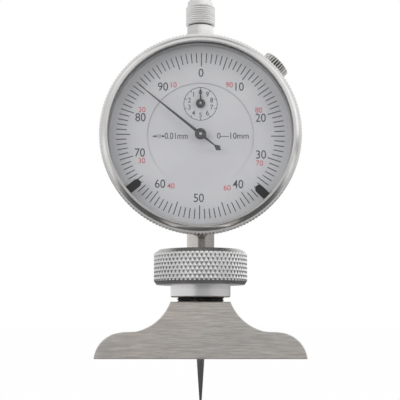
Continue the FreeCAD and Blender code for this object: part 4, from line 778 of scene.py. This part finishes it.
# Studio: a pale floor, a white backdrop, three soft lamps and the light that metal mirrors. Mirrors
# see dark round the object and bright panels beside it, as they do on a photographer's table.
FLOOR_Z = -0.0135
finish, sheet = finish_sheet("pale_floor")
place = sheet.add("ShaderNodeTexCoord", output="Object")
mottle = sheet.noise(place, 30.0, 3.0)
paper = sheet.add("ShaderNodeBsdfDiffuse", None, {"Color": sheet.blend(mottle, grey(0.80), grey(0.84))})
glow = sheet.add("ShaderNodeEmission", None, {"Color": grey(1.0), "Strength": 1.0})
seen = sheet.add("ShaderNodeLightPath", output="Is Camera Ray")
plain = sheet.add("ShaderNodeMixShader", None, {0: seen * 0.98, 1: paper, 2: glow})
mirrored = sheet.add("ShaderNodeLightPath", output="Is Glossy Ray")
x, y, z = sheet.parts(place)
near = sheet.ramp(sheet.sum("SQRT", x * x * 1.8 + (y + 0.03) * (y + 0.03)), 0.13, 0.40)
table = sheet.add("ShaderNodeEmission", None, {"Color": grey(1.0), "Strength": near * 0.66 + 0.1})
both = sheet.add("ShaderNodeMixShader", None, {0: mirrored, 1: plain, 2: table})
end = sheet.tree.nodes.new("ShaderNodeOutputMaterial")
sheet.tree.links.new(both.end, end.inputs["Surface"])
floor_shape = bpy.data.meshes.new("floor")
FLOOR_HALF = 3.0
corners = [(-1, -1), (1, -1), (1, 1), (-1, 1)]
floor_shape.from_pydata([(x * FLOOR_HALF, y * FLOOR_HALF, FLOOR_Z) for x, y in corners], [],
                        [(0, 1, 2, 3)])
floor_shape.materials.append(finish)
floor = bpy.data.objects.new("floor", floor_shape)
bpy.context.scene.collection.objects.link(floor)

world = bpy.data.worlds.new("studio")
bpy.context.scene.world = world
world.use_nodes = True
world.node_tree.nodes.clear()
sheet = Sheet(world.node_tree)
x, y, z = sheet.parts(sheet.add("ShaderNodeTexCoord", output="Generated"))
azimuth = sheet.sum("ARCTAN2", x, 0 - y) * (180 / math.pi)
# What metal mirrors: a dark table edge low down between two bright sides, panels above it, and a
# dimmer ceiling between two bright boxes. Azimuth 0 is the camera's side, and + is to its right.
right = sheet.ramp(azimuth, -26.0, -15.0)
strip = 1 - sheet.ramp(azimuth, 28.0, 50.0)
high = sheet.ramp(z, 0.10, 0.15)
low_right = strip * 0.015 + (1 - strip) * 0.36
low = (1 - right) * 0.85 + right * low_right
split = sheet.ramp(azimuth, -24.0, -18.0)
upper = (1 - split) * 0.64 + split * (0.82 + sheet.ramp(azimuth, -18.0, 30.0) * 0.16)
overhead = sheet.ramp(z, 0.35, 0.75)
boxes = sheet.ramp(sheet.sum("ABSOLUTE", x), 0.25, 0.45)
upper = upper * (1 - overhead) + overhead * (0.35 + boxes * 0.6)
mirror = low * (1 - high) + upper * high
path = sheet.add("ShaderNodeLightPath", output="Is Camera Ray").end.node.outputs
camera = Wire(sheet, path["Is Camera Ray"])
glossy = Wire(sheet, path["Is Glossy Ray"])
through = Wire(sheet, path["Is Transmission Ray"])
white = sheet.sum("MAXIMUM", camera, through)
AMBIENT = 0.66
level = white + (1 - white) * (glossy * mirror + (1 - glossy) * AMBIENT)
lit = sheet.add("ShaderNodeBackground", None, {"Color": grey(1.0), "Strength": level})
end = sheet.tree.nodes.new("ShaderNodeOutputWorld")
sheet.tree.links.new(lit.end, end.inputs["Surface"])

AIM = Vector((0, 0, 0.05))
# Each lamp's place, the length of its side, and its share of the light on a face turned to it.
LAMPS = (("key", (-0.5, -0.85, 0.2), 0.5, 0.27), ("fill", (0.6, -0.75, 0.15), 0.5, 0.17),
         ("top", (0.0, -0.3, 0.8), 0.6, 0.1))
for name, spot, side, share in LAMPS:
    lamp = bpy.data.lights.new(name, "AREA")
    lamp.size = side
    away = Vector(spot) - AIM
    lamp.energy = share * math.pi ** 2 * away.length ** 2
    holder = bpy.data.objects.new(name, lamp)
    holder.location = spot
    holder.rotation_euler = away.to_track_quat("Z", "Y").to_euler()
    holder.visible_glossy = False
    bpy.context.scene.collection.objects.link(holder)

CAMERA_PLACE = (-0.00015, -0.2913, 0.0111)
CAMERA_TILT_DEG = 96.8
lens = bpy.data.cameras.new("camera")
lens.lens = 90.0
lens.sensor_width = 36.0
lens.clip_start = 0.01
eye = bpy.data.objects.new("camera", lens)
eye.location = CAMERA_PLACE
eye.rotation_euler = (math.radians(CAMERA_TILT_DEG), 0, 0)
bpy.context.scene.collection.objects.link(eye)
bpy.context.scene.camera = eye
bpy.context.scene.view_settings.view_transform = "Standard"
